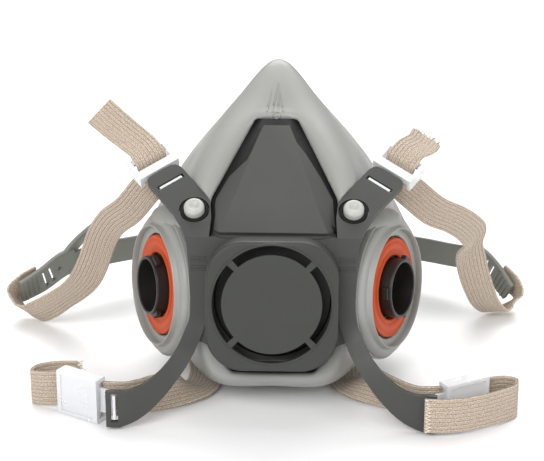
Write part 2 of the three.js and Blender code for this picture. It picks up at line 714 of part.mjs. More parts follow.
const lowerRightStrap = [
  ...strap([
    [-83.5, 22.4, 7.9, 0, 0.1, 1],
    [-90, 22.2, 7.9, 0, 0.1, 1],
    [-96.5, 21, 7.9, 0, 0.05, 1],
    [-101, 17.8, 7.9, 0, 0, 1],
    [-101.6, 13.4, 8, 0, 0, 1],
    [-97.8, 10.6, 8.6, 0, 0, 1],
  ]),
  ...throughLowerBuckle(lowerRightFrame),
  ...strap([
    [-61.2, 1.2, 8.6, 0, 0, 1],
    [-55, 5.4, 8.2, 0, 0, 1],
    [-46, 11.6, 7.2, -0.3, 0.45, 0.84],
    [-38, 18, 5.8, -0.55, 0.6, 0.58],
    [-32, 27, 2.4, -0.86, 0.5, 0.05],
    [-30, 42, 1.3, -1, 0, 0.02],
    [-32, 60, 1.3, -0.99, -0.1, 0],
    [-38, 82, 2, -0.96, -0.28, 0.05],
    [-40, 102, 6.9, -0.6, 0, 0.8],
    [-27, 121.6, 7.9, 0, 0, 1],
    [-12, 123.8, 7.9, 0, 0, 1],
  ]),
];
const lowerLeftStrap = [
  ...strap([
    [62.4, -12.6, 9.6, 0, 0, 1],
    [70, -12.9, 9.6, 0, 0, 1],
    [77, -11.2, 9.4, 0, 0, 1],
    [85.5, -6.8, 9, 0, 0, 1],
    [95, 0.2, 8.4, 0, 0, 1],
    [101, 6.6, 7.9, 0, 0, 1],
    [101.6, 11.6, 8, 0, 0, 1],
    [97.4, 12.6, 8.6, 0, 0, 1],
  ]),
  ...throughLowerBuckle(lowerBuckleFrame),
  ...strap([
    [61.2, 1.2, 8.6, 0, 0, 1],
    [55, 6, 8.3, 0, 0, 1],
    [48, 12.6, 8.2, 0.1, 0.1, 0.99],
    [40.5, 19.5, 7.9, 0.36, 0.4, 0.84],
    [34.5, 28, 4.7, 0.8, 0.45, 0.4],
    [31, 42, 1.3, 1, 0, 0.02],
    [32, 60, 1.3, 0.99, -0.1, 0],
    [38, 82, 2, 0.96, -0.28, 0.05],
    [40, 102, 6.9, 0.6, 0, 0.8],
    [27, 121.6, 7.9, 0, 0, 1],
    [12, 123.8, 7.9, 0, 0, 1],
  ]),
];
place(respirator, "strap_upper_left", band(upperLeftStrap, STRAP_THICKNESS, 3), "strap", 0.9);
place(respirator, "strap_upper_right", band(upperRightStrap, STRAP_THICKNESS, 3), "strap", 0.9);
place(respirator, "strap_lower_left", band(lowerLeftStrap, STRAP_THICKNESS, 3), "strap", 0.9);
place(respirator, "strap_lower_right", band(lowerRightStrap, STRAP_THICKNESS, 3), "strap", 0.9);

// ---- Head cradle: two bands that meet in a slotted plate at each end ----
const CRADLE_THICKNESS = 2;
const LOWER_BAND = [
  [-101, 121, 22, 12, 0.1, 0.35, -0.93],
  [-92, 129, 22.4, 12, 0.03, 0.12, -0.99],
  [-79, 140, 22, 12, 0, 0, -1],
  [-42, 159, 21.5, 12, 0, 0, -1],
  [0, 166, 21, 12, 0, 0, -1],
  [40, 162, 20.6, 12, 0, 0, -1],
  [70, 150, 20.4, 12, 0, 0, -1],
  [84, 141, 21, 12, -0.03, 0.12, -0.99],
  [93, 133.4, 22.6, 12, -0.1, 0.35, -0.93],
];
const UPPER_BAND = [
  [-103, 119, 24, 9, 0.15, 0.45, -0.88],
  [-99, 122.5, 30, 10, 0.1, 0.8, -0.6],
  [-90.8, 130, 36.9, 11, 0.05, 0.9, -0.44],
  [-73.9, 145, 48.8, 12, 0, 0.95, -0.3],
  [-40, 163, 60, 12, 0, 0.98, -0.2],
  [0, 170, 64, 12, 0, 0.98, -0.2],
  [40, 166, 59, 12, 0, 0.98, -0.2],
  [72, 151, 46, 12, 0, 0.95, -0.3],
  [86, 139, 35, 11, -0.05, 0.9, -0.44],
  [92, 133, 28.6, 10, -0.1, 0.8, -0.6],
  [95.4, 130.4, 24.6, 9, -0.15, 0.45, -0.88],
];
const RIGHT_END = [
  [-121.5, 103, 14.4, 12, 0.15, 0.45, -0.88],
  [-113, 110.6, 17.4, 14, 0.15, 0.45, -0.88],
  [-104, 118.4, 22.4, 15, 0.15, 0.45, -0.88],
  [-99, 122.6, 23.6, 14, 0.12, 0.4, -0.9],
];
const LEFT_END = [
  [108.4, 118, 11.4, 12, -0.15, 0.45, -0.88],
  [103.4, 123.6, 17, 14, -0.15, 0.45, -0.88],
  [96.4, 130.4, 22.6, 15, -0.15, 0.45, -0.88],
  [91.4, 134.8, 23.6, 14, -0.12, 0.4, -0.9],
];

function cradle() {
  const lower = band(stops(LOWER_BAND), CRADLE_THICKNESS, 3);
  const upper = band(stops(UPPER_BAND), CRADLE_THICKNESS, 3);
  const ends = [RIGHT_END, LEFT_END].map((rows) => band(stops(rows), CRADLE_THICKNESS + 0.4, 3));
  return join(lower, upper, ...ends);
}

place(respirator, "head_cradle", cradle(), "cradle", 0.6);

// ---- Neck clip: a flat loop on one neck strap and a hook on the other ----
const CLIP_Y = 121;
const CLIP_TOP = 15.6;
const CLIP_BOTTOM = 0.4;

function clipLoop() {
  const body = box(-17, -1, CLIP_Y - 1.2, CLIP_Y + 1.2, CLIP_BOTTOM, CLIP_TOP);
  const window = box(-8.6, -3, CLIP_Y - 4, CLIP_Y + 4, 3, 13);
  return cut(body, window);
}

function clipHook() {
  const body = box(1, 17, CLIP_Y - 1.2, CLIP_Y + 1.2, CLIP_BOTTOM, CLIP_TOP);
  const neck = box(1, 3.4, CLIP_Y - 3.4, CLIP_Y + 1.2, 4, 12);
  const finger = box(-7, 3.4, CLIP_Y - 3.4, CLIP_Y - 1.6, 4, 12);
  const tip = box(-7, -5.4, CLIP_Y - 3.4, CLIP_Y + 0.4, 4, 12);
  return join(body, neck, finger, tip);
}

place(respirator, "neck_clip_loop", clipLoop(), "clip", 0.5);
place(respirator, "neck_clip_hook", clipHook(), "clip", 0.5);

// The finished object stands on Z = 0 with the middle of its footprint at the origin.
const bounds = new THREE.Box3().setFromObject(respirator, true);
const middle = bounds.getCenter(vec());
respirator.position.set(-middle.x, -middle.y, -bounds.min.z);

export default respirator;
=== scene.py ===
"""The looks of a reusable half-face respirator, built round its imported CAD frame. Lengths are in millimetres
until a mesh is made. The mask's own frame has x across, y to the back and z up, with its origin at the middle
of the valve cover's face."""

import math
import random

import bmesh
import bpy
import numpy as np
from mathutils import Matrix, Vector
from mathutils.bvhtree import BVHTree


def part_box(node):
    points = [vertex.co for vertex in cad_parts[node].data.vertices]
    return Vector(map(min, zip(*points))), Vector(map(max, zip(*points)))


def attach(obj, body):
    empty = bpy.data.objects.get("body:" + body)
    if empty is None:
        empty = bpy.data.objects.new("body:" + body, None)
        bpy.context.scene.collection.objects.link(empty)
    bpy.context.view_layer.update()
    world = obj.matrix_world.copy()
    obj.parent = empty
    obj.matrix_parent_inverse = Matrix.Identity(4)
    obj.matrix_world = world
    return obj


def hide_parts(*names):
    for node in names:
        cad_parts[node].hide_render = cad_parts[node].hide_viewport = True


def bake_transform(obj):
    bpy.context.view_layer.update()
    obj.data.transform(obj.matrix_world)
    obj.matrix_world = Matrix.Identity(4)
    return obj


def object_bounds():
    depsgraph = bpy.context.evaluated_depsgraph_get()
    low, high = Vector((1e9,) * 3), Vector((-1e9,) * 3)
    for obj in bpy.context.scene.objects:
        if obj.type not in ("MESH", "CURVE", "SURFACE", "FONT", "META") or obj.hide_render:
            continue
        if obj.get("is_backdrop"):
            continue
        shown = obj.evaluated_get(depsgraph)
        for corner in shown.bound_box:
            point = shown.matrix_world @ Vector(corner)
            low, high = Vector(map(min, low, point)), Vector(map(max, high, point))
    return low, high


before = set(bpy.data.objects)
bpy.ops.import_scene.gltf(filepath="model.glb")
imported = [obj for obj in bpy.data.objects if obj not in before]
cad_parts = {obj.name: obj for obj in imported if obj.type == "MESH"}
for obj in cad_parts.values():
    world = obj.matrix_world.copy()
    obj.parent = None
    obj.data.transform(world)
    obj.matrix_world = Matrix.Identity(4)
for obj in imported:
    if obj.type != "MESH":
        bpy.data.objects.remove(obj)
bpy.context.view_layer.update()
MM = 0.001
ROOT = "mask"

# ---- Driving dimensions ----
PITCH = math.radians(10)
VALVE_HEIGHT = 52
COVER_HALF = 27
COVER_CORNER = 15.5
COVER_BEVEL = 1.6
COVER_DEPTH = 11
COVER_WALL = 1.8
SLOT_OUTER = 24.3
SLOT_INNER = 20.5
SPOKE_WIDTH = 2.4
YOKE_FRONT = 11.4
YOKE_THICKNESS = 2.4
FRAME_SEAT = 14.2
FRAME_THICKNESS = 2.6
GAP = 0.3
PANEL_GAP = 1.9
SHADE_SKIRT_DEPTH = 1.5
PORT = Vector((52.5, 39, -0.5))
PORT_TURN = math.radians(63.5)
PORT_RIM = 26.6
GASKET_OUTER = 21.4
GASKET_INNER = 13.8
TUBE_OUTER = 12.7
TUBE_INNER = 11.2
STUD = Vector((33, 22, 34.5))
TAB_END = Vector((47.9, 36.1, 48.6))
TAB_SLOT_BACK = 7.2
LOWER_BEND = math.radians(31)
ARM_SLOT = Vector((64.1, -9.2, 9.7))
STRAP_WIDTH = 15.2
UPPER_STRAP_WIDTH = 14.2
STRAP_THICKNESS = 1.4
STRAP_RIBS = 9

# ---- Frames ----
cover_low, cover_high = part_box("exhalation_cover")
valve = Vector((
    (cover_low.x + cover_high.x) / 2 / MM,
    cover_low.y / MM + (COVER_HALF + 1 - COVER_BEVEL) * math.sin(PITCH),
    cover_high.z / MM - (COVER_HALF - 1) * math.cos(PITCH) + COVER_BEVEL * math.sin(PITCH),
))
# REST takes the straps' own coordinates, and MASK the mask's, to the row frame.
REST = Matrix.Translation(valve - Vector((0, 0, VALVE_HEIGHT)))
MASK = Matrix.Translation(valve) @ Matrix.Rotation(-PITCH, 4, "X")


def frame_of(origin, u, w):
    out = u.normalized()
    across = w.cross(out).normalized()
    normal = out.cross(across).normalized()
    matrix = Matrix((out, across, normal)).transposed().to_4x4()
    matrix.translation = origin
    return matrix


def port_frame(side):
    turn = Matrix.Rotation(-side * (math.pi - PORT_TURN), 4, "Z")
    return Matrix.Translation((side * PORT.x, PORT.y, PORT.z)) @ turn


def stud_frame(side, tilt):
    return MASK @ Matrix.Translation((side * STUD.x, STUD.y, STUD.z)) @ Matrix.Rotation(tilt, 4, "X")


tab_up = (TAB_END - STUD).normalized()
tab_frame = frame_of(TAB_END - tab_up * TAB_SLOT_BACK, tab_up, Vector((0, -1, 1)).normalized())
to_floor = Matrix.Translation((0, 0, VALVE_HEIGHT)) @ Matrix.Rotation(-PITCH, 4, "X")
upper_buckle_frame = to_floor @ tab_frame
lower_buckle_frame = frame_of(
    ARM_SLOT,
    Vector((math.cos(LOWER_BEND), math.sin(LOWER_BEND), 0)),
    Vector((math.sin(LOWER_BEND), -math.cos(LOWER_BEND), 0)),
)
MIRROR = Matrix.Scale(-1, 4, (1, 0, 0))


# ---- Meshes ----
def make(name, points, faces, matrix=MASK):
    points = np.asarray(points, float).reshape(-1, 3)
    turn = np.array(matrix)
    points = (points @ turn[:3, :3].T + turn[:3, 3]) * MM
    mesh = bpy.data.meshes.new(name)
    mesh.from_pydata(points.tolist(), [], faces)
    return tidy_mesh(link(name, mesh))


def link(name, mesh):
    piece = bpy.data.objects.new(name, mesh)
    bpy.context.scene.collection.objects.link(piece)
    return piece


def tidy_mesh(piece, merge=2e-6, flat=None):
    """Merges doubled points, turns the faces outwards and shades them smooth."""
    work = bmesh.new()
    work.from_mesh(piece.data)
    bmesh.ops.remove_doubles(work, verts=work.verts, dist=merge)
    if flat is not None:
        bmesh.ops.dissolve_limit(work, angle_limit=math.radians(flat), verts=work.verts, edges=work.edges)
    bmesh.ops.recalc_face_normals(work, faces=work.faces)
    for face in work.faces:
        face.smooth = True
    for edge in work.edges:
        edge.smooth = edge.calc_face_angle(0) < math.radians(50)
    work.to_mesh(piece.data)
    work.free()
    return piece


def bake(piece):
    """Applies a piece's modifiers."""
    graph = bpy.context.evaluated_depsgraph_get()
    mesh = bpy.data.meshes.new_from_object(piece.evaluated_get(graph))
    piece.modifiers.clear()
    piece.data = mesh
    return piece


def boolean(piece, tool, operation="DIFFERENCE"):
    modifier = piece.modifiers.new("join", "BOOLEAN")
    modifier.operation = operation
    modifier.solver = "MANIFOLD"
    modifier.object = tool
    bake(piece)
    bpy.data.objects.remove(tool)
    return piece


def soften(piece, width, segments=3, angle=28):
    """Rounds a piece's hard edges."""
    modifier = piece.modifiers.new("edges", "BEVEL")
    modifier.width = width * MM
    modifier.segments = segments
    modifier.limit_method = "ANGLE"
    modifier.angle_limit = math.radians(angle)
    modifier.harden_normals = True
    modifier.use_clamp_overlap = True
    bake(piece)
    return piece


def joined(name, pieces):
    """Several meshes as one object, without cutting them."""
    work = bmesh.new()
    for piece in pieces:
        piece.data.transform(piece.matrix_world)
        work.from_mesh(piece.data)
    mesh = bpy.data.meshes.new(name)
    work.to_mesh(mesh)
    work.free()
    for piece in pieces:
        bpy.data.objects.remove(piece)
    return link(name, mesh)


def from_node(name, width=0.4, flat=0.6):
    """A copy of a CAD node with rounded edges, which stands for the node."""
    piece = link(name + "_shell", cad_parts[name].data.copy())
    piece.data.materials.clear()
    if piece.data.has_custom_normals:
        piece.data.attributes.remove(piece.data.attributes["custom_normal"])
    tidy_mesh(piece, flat=flat)
    soften(piece, width)
    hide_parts(name)
    return piece


def loft(rings, joined_up=False, capped=True):
    """Points and faces of a skin over closed rings."""
    rings = np.asarray(rings, float)
    count, size = rings.shape[:2]
    faces = []
    for i in range(count if joined_up else count - 1):
        here, after = i * size, (i + 1) % count * size
        for j in range(size):
            k = (j + 1) % size
            faces.append((here + j, here + k, after + k, after + j))
    if capped and not joined_up:
        faces.append(tuple(range(size)))
        faces.append(tuple(range((count - 1) * size, count * size)))
    return rings.reshape(-1, 3), faces


def turned(name, profile, matrix=MASK, segments=96, closed=False):
    """A turned solid about +Y from [radius, y] pairs."""
    rings = []
    for radius, y in profile:
        turn = np.linspace(0, 2 * math.pi, segments, endpoint=False)
        rings.append(np.stack([radius * np.sin(turn), np.full(segments, y), radius * np.cos(turn)], 1))
    points, faces = loft(rings, closed, False)
    return make(name, points, faces, matrix)


def box(name, x0, x1, y0, y1, z0, z1, matrix=MASK):
    points = [(x, y, z) for x in (x0, x1) for y in (y0, y1) for z in (z0, z1)]
    faces = [(0, 1, 3, 2), (4, 6, 7, 5), (0, 4, 5, 1), (2, 3, 7, 6), (0, 2, 6, 4), (1, 5, 7, 3)]
    return make(name, points, faces, matrix)


def plate(name, outline, y0, y1, matrix=MASK):
    rings = [[(x, y, z) for x, z in outline] for y in (y0, y1)]
    return make(name, *loft(rings), matrix)


def rounded_rect(half, bottom, top, radius, segments=24):
    outline = []
    for cx, cz, start in (
        (half - radius, top - radius, 0),
        (-half + radius, top - radius, 90),
        (-half + radius, bottom + radius, 180),
        (half - radius, bottom + radius, 270),
    ):
        for i in range(segments + 1):
            turn = math.radians(start + 90 * i / segments)
            outline.append((cx + radius * math.cos(turn), cz + radius * math.sin(turn)))
    return outline


def spline(points, steps, closed=False):
    """A smooth centripetal curve through points: the places on it and its directions."""
    points = np.asarray(points, float)
    count = len(points)
    places, ways = [], []
    spans = count if closed else count - 1
    for i in range(spans):
        if closed:
            p0, p1, p2, p3 = (points[(i + k) % count] for k in (-1, 0, 1, 2))
        else:
            p1, p2 = points[i], points[i + 1]
            p0 = points[i - 1] if i else 2 * p1 - p2
            p3 = points[i + 2] if i + 2 < count else 2 * p2 - p1
        d0, d1, d2 = (max(np.sqrt(np.linalg.norm(b - a)), 1e-4) for a, b in ((p0, p1), (p1, p2), (p2, p3)))
        m1 = ((p1 - p0) / d0 - (p2 - p0) / (d0 + d1) + (p2 - p1) / d1) * d1
        m2 = ((p2 - p1) / d1 - (p3 - p1) / (d1 + d2) + (p3 - p2) / d2) * d1
        last = not closed and i == spans - 1
        for t in np.arange(steps + (1 if last else 0)) / steps:
            a = 2 * p1 - 2 * p2 + m1 + m2
            b = -3 * p1 + 3 * p2 - 2 * m1 - m2
            places.append(a * t**3 + b * t**2 + m1 * t + p1)
            ways.append(3 * a * t**2 + 2 * b * t + m1)
    ways = np.array(ways)
    return np.array(places), ways / np.maximum(np.linalg.norm(ways, axis=1), 1e-9)[:, None]


# ---- Materials ----
def shader(name, colour, roughness=0.5, **sockets):
    made = bpy.data.materials.new(name)
    made.use_nodes = True
    tree = made.node_tree
    base = tree.nodes["Principled BSDF"]
    base.inputs["Base Color"].default_value = (*colour, 1)
    base.inputs["Roughness"].default_value = roughness
    for key, value in sockets.items():
        base.inputs[key.replace("_", " ")].default_value = value
    return made, tree, base


def node(tree, kind, **values):
    made = tree.nodes.new(kind)
    for key, value in values.items():
        if key in made.inputs:
            made.inputs[key].default_value = value
        else:
            setattr(made, key, value)
    return made


def speckle(tree, coordinates, scale, detail=3, roughness=0.6):
    noise = node(tree, "ShaderNodeTexNoise", Scale=scale, Detail=detail, Roughness=roughness)
    tree.links.new(coordinates, noise.inputs["Vector"])
    return noise.outputs["Fac"]


def ramp(tree, source, stops):
    made = tree.nodes.new("ShaderNodeValToRGB")
    while len(made.color_ramp.elements) < len(stops):
        made.color_ramp.elements.new(0.5)
    for element, (place, colour) in zip(made.color_ramp.elements, stops):
        element.position = place
        element.color = (*colour, 1)
    tree.links.new(source, made.inputs["Fac"])
    return made.outputs["Color"]


def shade(colour, amount):
    return tuple(min(1, max(0, c * amount)) for c in colour)


def moulded(name, colour, roughness=0.45, grain=0.25, grain_scale=2600, vary=0.1, **sockets):
    """A moulded plastic or rubber: a fine grain, faint mottling and uneven gloss."""
    made, tree, base = shader(name, colour, roughness, **sockets)
    place = tree.nodes.new("ShaderNodeTexCoord").outputs["Object"]
    cloud = speckle(tree, place, 38, 4)
    tree.links.new(
        ramp(tree, cloud, [(0.3, shade(colour, 1 - vary)), (0.7, shade(colour, 1 + vary))]),
        base.inputs["Base Color"],
    )
    gloss_stops = [(0.3, (roughness - 0.06,) * 3), (0.7, (roughness + 0.08,) * 3)]
    gloss = ramp(tree, speckle(tree, place, 120, 3), gloss_stops)
    tree.links.new(gloss, base.inputs["Roughness"])
    bump = node(tree, "ShaderNodeBump", Strength=grain, Distance=0.00006)
    tree.links.new(speckle(tree, place, grain_scale, 2), bump.inputs["Height"])
    tree.links.new(bump.outputs["Normal"], base.inputs["Normal"])
    return made


def knitted(name, light, dark, fleck):
    """Knitted elastic: rows of loops in lengthwise ribs. The UV map holds millimetres along and across."""
    made, tree, base = shader(name, light, 0.9, Sheen_Weight=0.3, Sheen_Roughness=0.5)
    links = tree.links
    place = node(tree, "ShaderNodeUVMap", uv_map="weave").outputs["UV"]
    loops = node(
        tree, "ShaderNodeTexBrick", Scale=1.0, offset=0.5, squash=1.0,
        Color1=(*light, 1), Color2=(*shade(light, 0.8), 1), Mortar=(*dark, 1),
    )
    loops.inputs["Mortar Size"].default_value = 0.14
    loops.inputs["Mortar Smooth"].default_value = 0.9
    loops.inputs["Brick Width"].default_value = 1.3
    loops.inputs["Row Height"].default_value = STRAP_WIDTH / STRAP_RIBS / 2
    links.new(place, loops.inputs["Vector"])
    spread = tree.nodes.new("ShaderNodeTexNoise")
    spread.inputs["Scale"].default_value = 1.7
    spread.inputs["Detail"].default_value = 4
    spread.inputs["Roughness"].default_value = 0.7
    links.new(place, spread.inputs["Vector"])
    tint = ramp(tree, spread.outputs["Fac"], [(0.38, dark), (0.5, light), (0.62, fleck)])
    mix = node(tree, "ShaderNodeMix", data_type="RGBA")
    mix.inputs["Factor"].default_value = 0.5
    links.new(loops.outputs["Color"], mix.inputs["A"])
    links.new(tint, mix.inputs["B"])
    # Painted shade darkens the grooves between the ribs.
    split = tree.nodes.new("ShaderNodeSeparateXYZ")
    links.new(place, split.inputs["Vector"])
    wave = node(tree, "ShaderNodeMath", operation="MULTIPLY")
    wave.inputs[1].default_value = math.pi * STRAP_RIBS / STRAP_WIDTH
    links.new(split.outputs["Y"], wave.inputs[0])
    swing = node(tree, "ShaderNodeMath", operation="COSINE")
    links.new(wave.outputs["Value"], swing.inputs[0])
    crest = node(tree, "ShaderNodeMath", operation="ABSOLUTE")
    links.new(swing.outputs["Value"], crest.inputs[0])
    groove_shade = ramp(tree, crest.outputs["Value"], [(0.0, (0.5,) * 3), (0.45, (1.0,) * 3)])
    darker = node(tree, "ShaderNodeMix", data_type="RGBA", blend_type="MULTIPLY")
    darker.inputs["Factor"].default_value = 1
    links.new(mix.outputs["Result"], darker.inputs["A"])
    links.new(groove_shade, darker.inputs["B"])
    links.new(darker.outputs["Result"], base.inputs["Base Color"])
    bump = node(tree, "ShaderNodeBump", Strength=0.8, Distance=0.0003)
    links.new(loops.outputs["Fac"], bump.inputs["Height"])
    bump.invert = True
    links.new(bump.outputs["Normal"], base.inputs["Normal"])
    return made


ELASTOMER = moulded("elastomer", (0.29, 0.293, 0.275), 0.42, 0.12, 900, 0.03, Subsurface_Weight=0.05)
ELASTOMER.node_tree.nodes["Principled BSDF"].inputs["Subsurface Radius"].default_value = (0.004, 0.004, 0.003)
PANEL = moulded("panel", (0.06, 0.062, 0.057), 0.5, 0.3, 3200, 0.05, Specular_IOR_Level=0.35)
COVER = moulded("cover", (0.038, 0.04, 0.036), 0.48, 0.3, 3200, 0.05, Specular_IOR_Level=0.35)
YOKE = moulded("yoke", (0.05, 0.052, 0.047), 0.5, 0.3, 3200, 0.06, Specular_IOR_Level=0.35)
# The studs are moulded in the facepiece's grey elastomer; this lighter copy of its colour is a painted
# highlight.
LIT_STUDS = moulded("stud", (0.42, 0.42, 0.395), 0.35, 0.12, 1500, 0.04)
PORTS = moulded("port", (0.016, 0.0145, 0.013), 0.36, 0.15, 2500, 0.1, Specular_IOR_Level=0.4)
GASKETS = moulded("gasket", (0.54, 0.07, 0.014), 0.5, 0.2, 1600, 0.07, Specular_IOR_Level=0.3)
FLAPS = moulded("flap", (0.62, 0.38, 0.14), 0.35, 0.1, 900, 0.05)
SEAT = moulded("seat", (0.012, 0.0125, 0.012), 0.5, 0.2, 2500, 0.1)
# Near-black painted shade, for the gap round the front panel and the hole round each stud.
PAINTED_SHADE = moulded("painted_shade", (0.006, 0.006, 0.006), 0.6, 0.2, 2500, 0.1, Specular_IOR_Level=0.2)
CRADLE = moulded("cradle", (0.19, 0.2, 0.175), 0.45, 0.25, 2600, 0.05)
CLIP = moulded("clip", (0.06, 0.064, 0.058), 0.42, 0.25, 2600, 0.06)
BUCKLES = moulded(
    "buckle", (0.88, 0.89, 0.91), 0.22, 0.1, 800, 0.02,
    Transmission_Weight=0.3, IOR=1.46, Specular_IOR_Level=0.6,
)
STRAP = knitted("strap", (0.56, 0.45, 0.35), (0.22, 0.155, 0.105), (0.88, 0.78, 0.66))
THREAD = moulded("thread", (0.82, 0.78, 0.7), 0.8, 0.3, 4000, 0.1)


def dress(piece, material, body=ROOT):
    piece.data.materials.clear()
    piece.data.materials.append(material)
    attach(piece, body)
    return piece


# ---- Facepiece ----
# Each ring has seven stations down the wearer's left half, from the nose to the chin, and is mirrored.
FACE_RINGS = [
    [
        [0, 54.2, 66], [5, 53.4, 64.6], [20.5, 31.5, 37.5], [22, 19.4, 12],
        [22, 18.2, -12], [15, 18.2, -23], [0, 18.2, -24.5],
    ],
    [
        [0, 50.6, 71.8], [8.4, 49.4, 70.6], [27.2, 26.6, 41], [28.4, 15.8, 16],
        [28.2, 14.8, -14], [20, 14.2, -30], [0, 14, -31.5],
    ],
    [
        [0, 54, 75], [11, 50, 72], [30, 28, 44], [31.6, 15.2, 14],
        [31.6, 14.4, -15], [23, 13.6, -33], [0, 13.2, -34.5],
    ],
    [
        [0, 63, 87], [14, 56, 76], [34, 33, 46], [38, 26, 14],
        [37, 25, -17], [25, 20, -37], [0, 19, -38.5],
    ],
    [
        [0, 71, 93.5], [16.5, 63, 78.5], [38, 52, 48.5], [50, 46, 14],
        [46, 45, -18], [29, 36, -38.8], [0, 34, -42.6],
    ],
    [
        [0, 77, 93.5], [18.5, 73, 76], [42, 68, 46], [58, 68, 10],
        [53, 66, -19], [31, 56, -37], [0, 50, -44],
    ],
    [
        [0, 83, 89], [19.5, 83, 72.5], [44, 85, 43], [61, 87, 5],
        [54, 84, -17], [32, 75, -33], [0, 69, -39],
    ],
    [
        [0, 84, 85], [17.5, 85, 69], [41, 88, 41], [58, 90, 4],
        [51, 87, -16], [29, 78, -30.5], [0, 72, -36],
    ],
    [
        [0, 79, 74], [10, 81, 60], [28, 84, 35], [43, 87, 3],
        [37, 84, -13], [19, 77, -23.5], [0, 71, -28],
    ],
    [
        [0, 77, 75], [10.5, 79, 61.5], [29, 82, 36], [44.5, 85, 3],
        [38.5, 82, -14], [20, 75, -25], [0, 69, -29.5],
    ],
    [
        [0, 80, 86], [17, 81, 69.5], [40.5, 83, 41], [57.5, 85, 4.5],
        [50.5, 82, -15.5], [29.5, 73, -30.5], [0, 67, -36],
    ],
    [
        [0, 74, 90], [16, 71, 73.5], [39, 67, 44.5], [55, 67, 9.5],
        [50, 65, -17.5], [29, 55, -34], [0, 49.5, -40],
    ],
    [
        [0, 68, 89.5], [13.8, 63, 76], [35.2, 53, 46], [47, 47.5, 13.5],
        [43, 46.5, -16.5], [26.5, 37.5, -36], [0, 35.5, -39.5],
    ],
    [
        [0, 62, 82], [11, 58, 72], [31, 36, 43.5], [35, 29, 13],
        [34, 28, -15.5], [23, 23.5, -34], [0, 22.5, -36],
    ],
    [
        [0, 57, 67], [5.4, 56, 65.4], [21, 35, 38], [22.4, 23, 12],
        [22.4, 21.4, -12], [15.4, 21.4, -23], [0, 21.4, -24.5],
    ],
]
# Rows of [z, half width at the edge, half width at the ridge, depth at the ridge, depth at the edge].
FRAME_ROWS = [
    [68.2, 7, 5.4, 47.5, 49.3],
    [39, 24.4, 17.2, 22.6, 27.2],
    [27.4, 25.6, 22.2, 12.9, 18.2],
    [26, 25.8, 22.2, FRAME_SEAT, 18.2],
    [24.5, 26.4, 22.6, FRAME_SEAT, FRAME_SEAT + 1],
    [-16, 26.4, 22.6, FRAME_SEAT, FRAME_SEAT + 1],
    [-25, 22, 19, FRAME_SEAT, FRAME_SEAT + 1],
    [-30.4, 15, 12.5, FRAME_SEAT, FRAME_SEAT + 1],
]


def face_shell():
    rings = []
    for stations in FACE_RINGS:
        left = np.array(stations, float)
        right = left[1:-1][::-1] * (-1, 1, 1)
        places, _ = spline(np.concatenate([left, right]), 14, True)
        rings.append(places)
    columns = np.array(rings).transpose(1, 0, 2)
    fine = np.array([spline(column, 6, True)[0] for column in columns]).transpose(1, 0, 2)
    return make("shell", *loft(fine, True))


def panel_room(grow, forward):
    rings = []
    last = len(FRAME_ROWS) - 1
    back = FRAME_THICKNESS + 5 * GAP
    for i, (z, edge, ridge, ridge_y, edge_y) in enumerate(FRAME_ROWS):
        level = z + (grow if i == 0 else 0) - (grow if i == last else 0)
        rings.append([
            (-edge - grow, edge_y - forward, level), (-ridge, ridge_y - forward, level),
            (ridge, ridge_y - forward, level), (edge + grow, edge_y - forward, level),
            (edge + grow, edge_y + back, level), (ridge, ridge_y + back + 0.8, level),
            (-ridge, ridge_y + back + 0.8, level), (-edge - grow, edge_y + back, level),
        ])
    return make("panel_room", *loft(rings))


def blade_room(side):
    tab = [
        (26.4, -1.4), (25.8, 10), (26.6, 18.2), (38.6, 34.2), (40, 35.7), (41.8, 36.6), (43.6, 36.5),
        (45.2, 35.7), (51.7, 30.8), (52.9, 29.6), (53.5, 28.4), (53.4, 27.1), (52.6, 25.6), (41.8, 12),
        (38, 5), (35.8, -1.4),
    ]
    tilt = Matrix.Rotation(math.pi / 4, 4, "X")
    place = Matrix.Translation((0, YOKE_FRONT + YOKE_THICKNESS / 2, 25)) @ tilt
    rings = [[place @ Vector((side * x, up, depth)) for x, up in tab] for depth in (-1.6, 12)]
    return make("blade_room", *loft(rings))


def ball(name, matrix):
    """A round solid of radius 1 in the given frame."""
    turn = np.linspace(0.06, math.pi - 0.06, 17)
    return turned(name, [(0, 1), *[(math.sin(t), math.cos(t)) for t in turn], (0, -1)], matrix, 40)


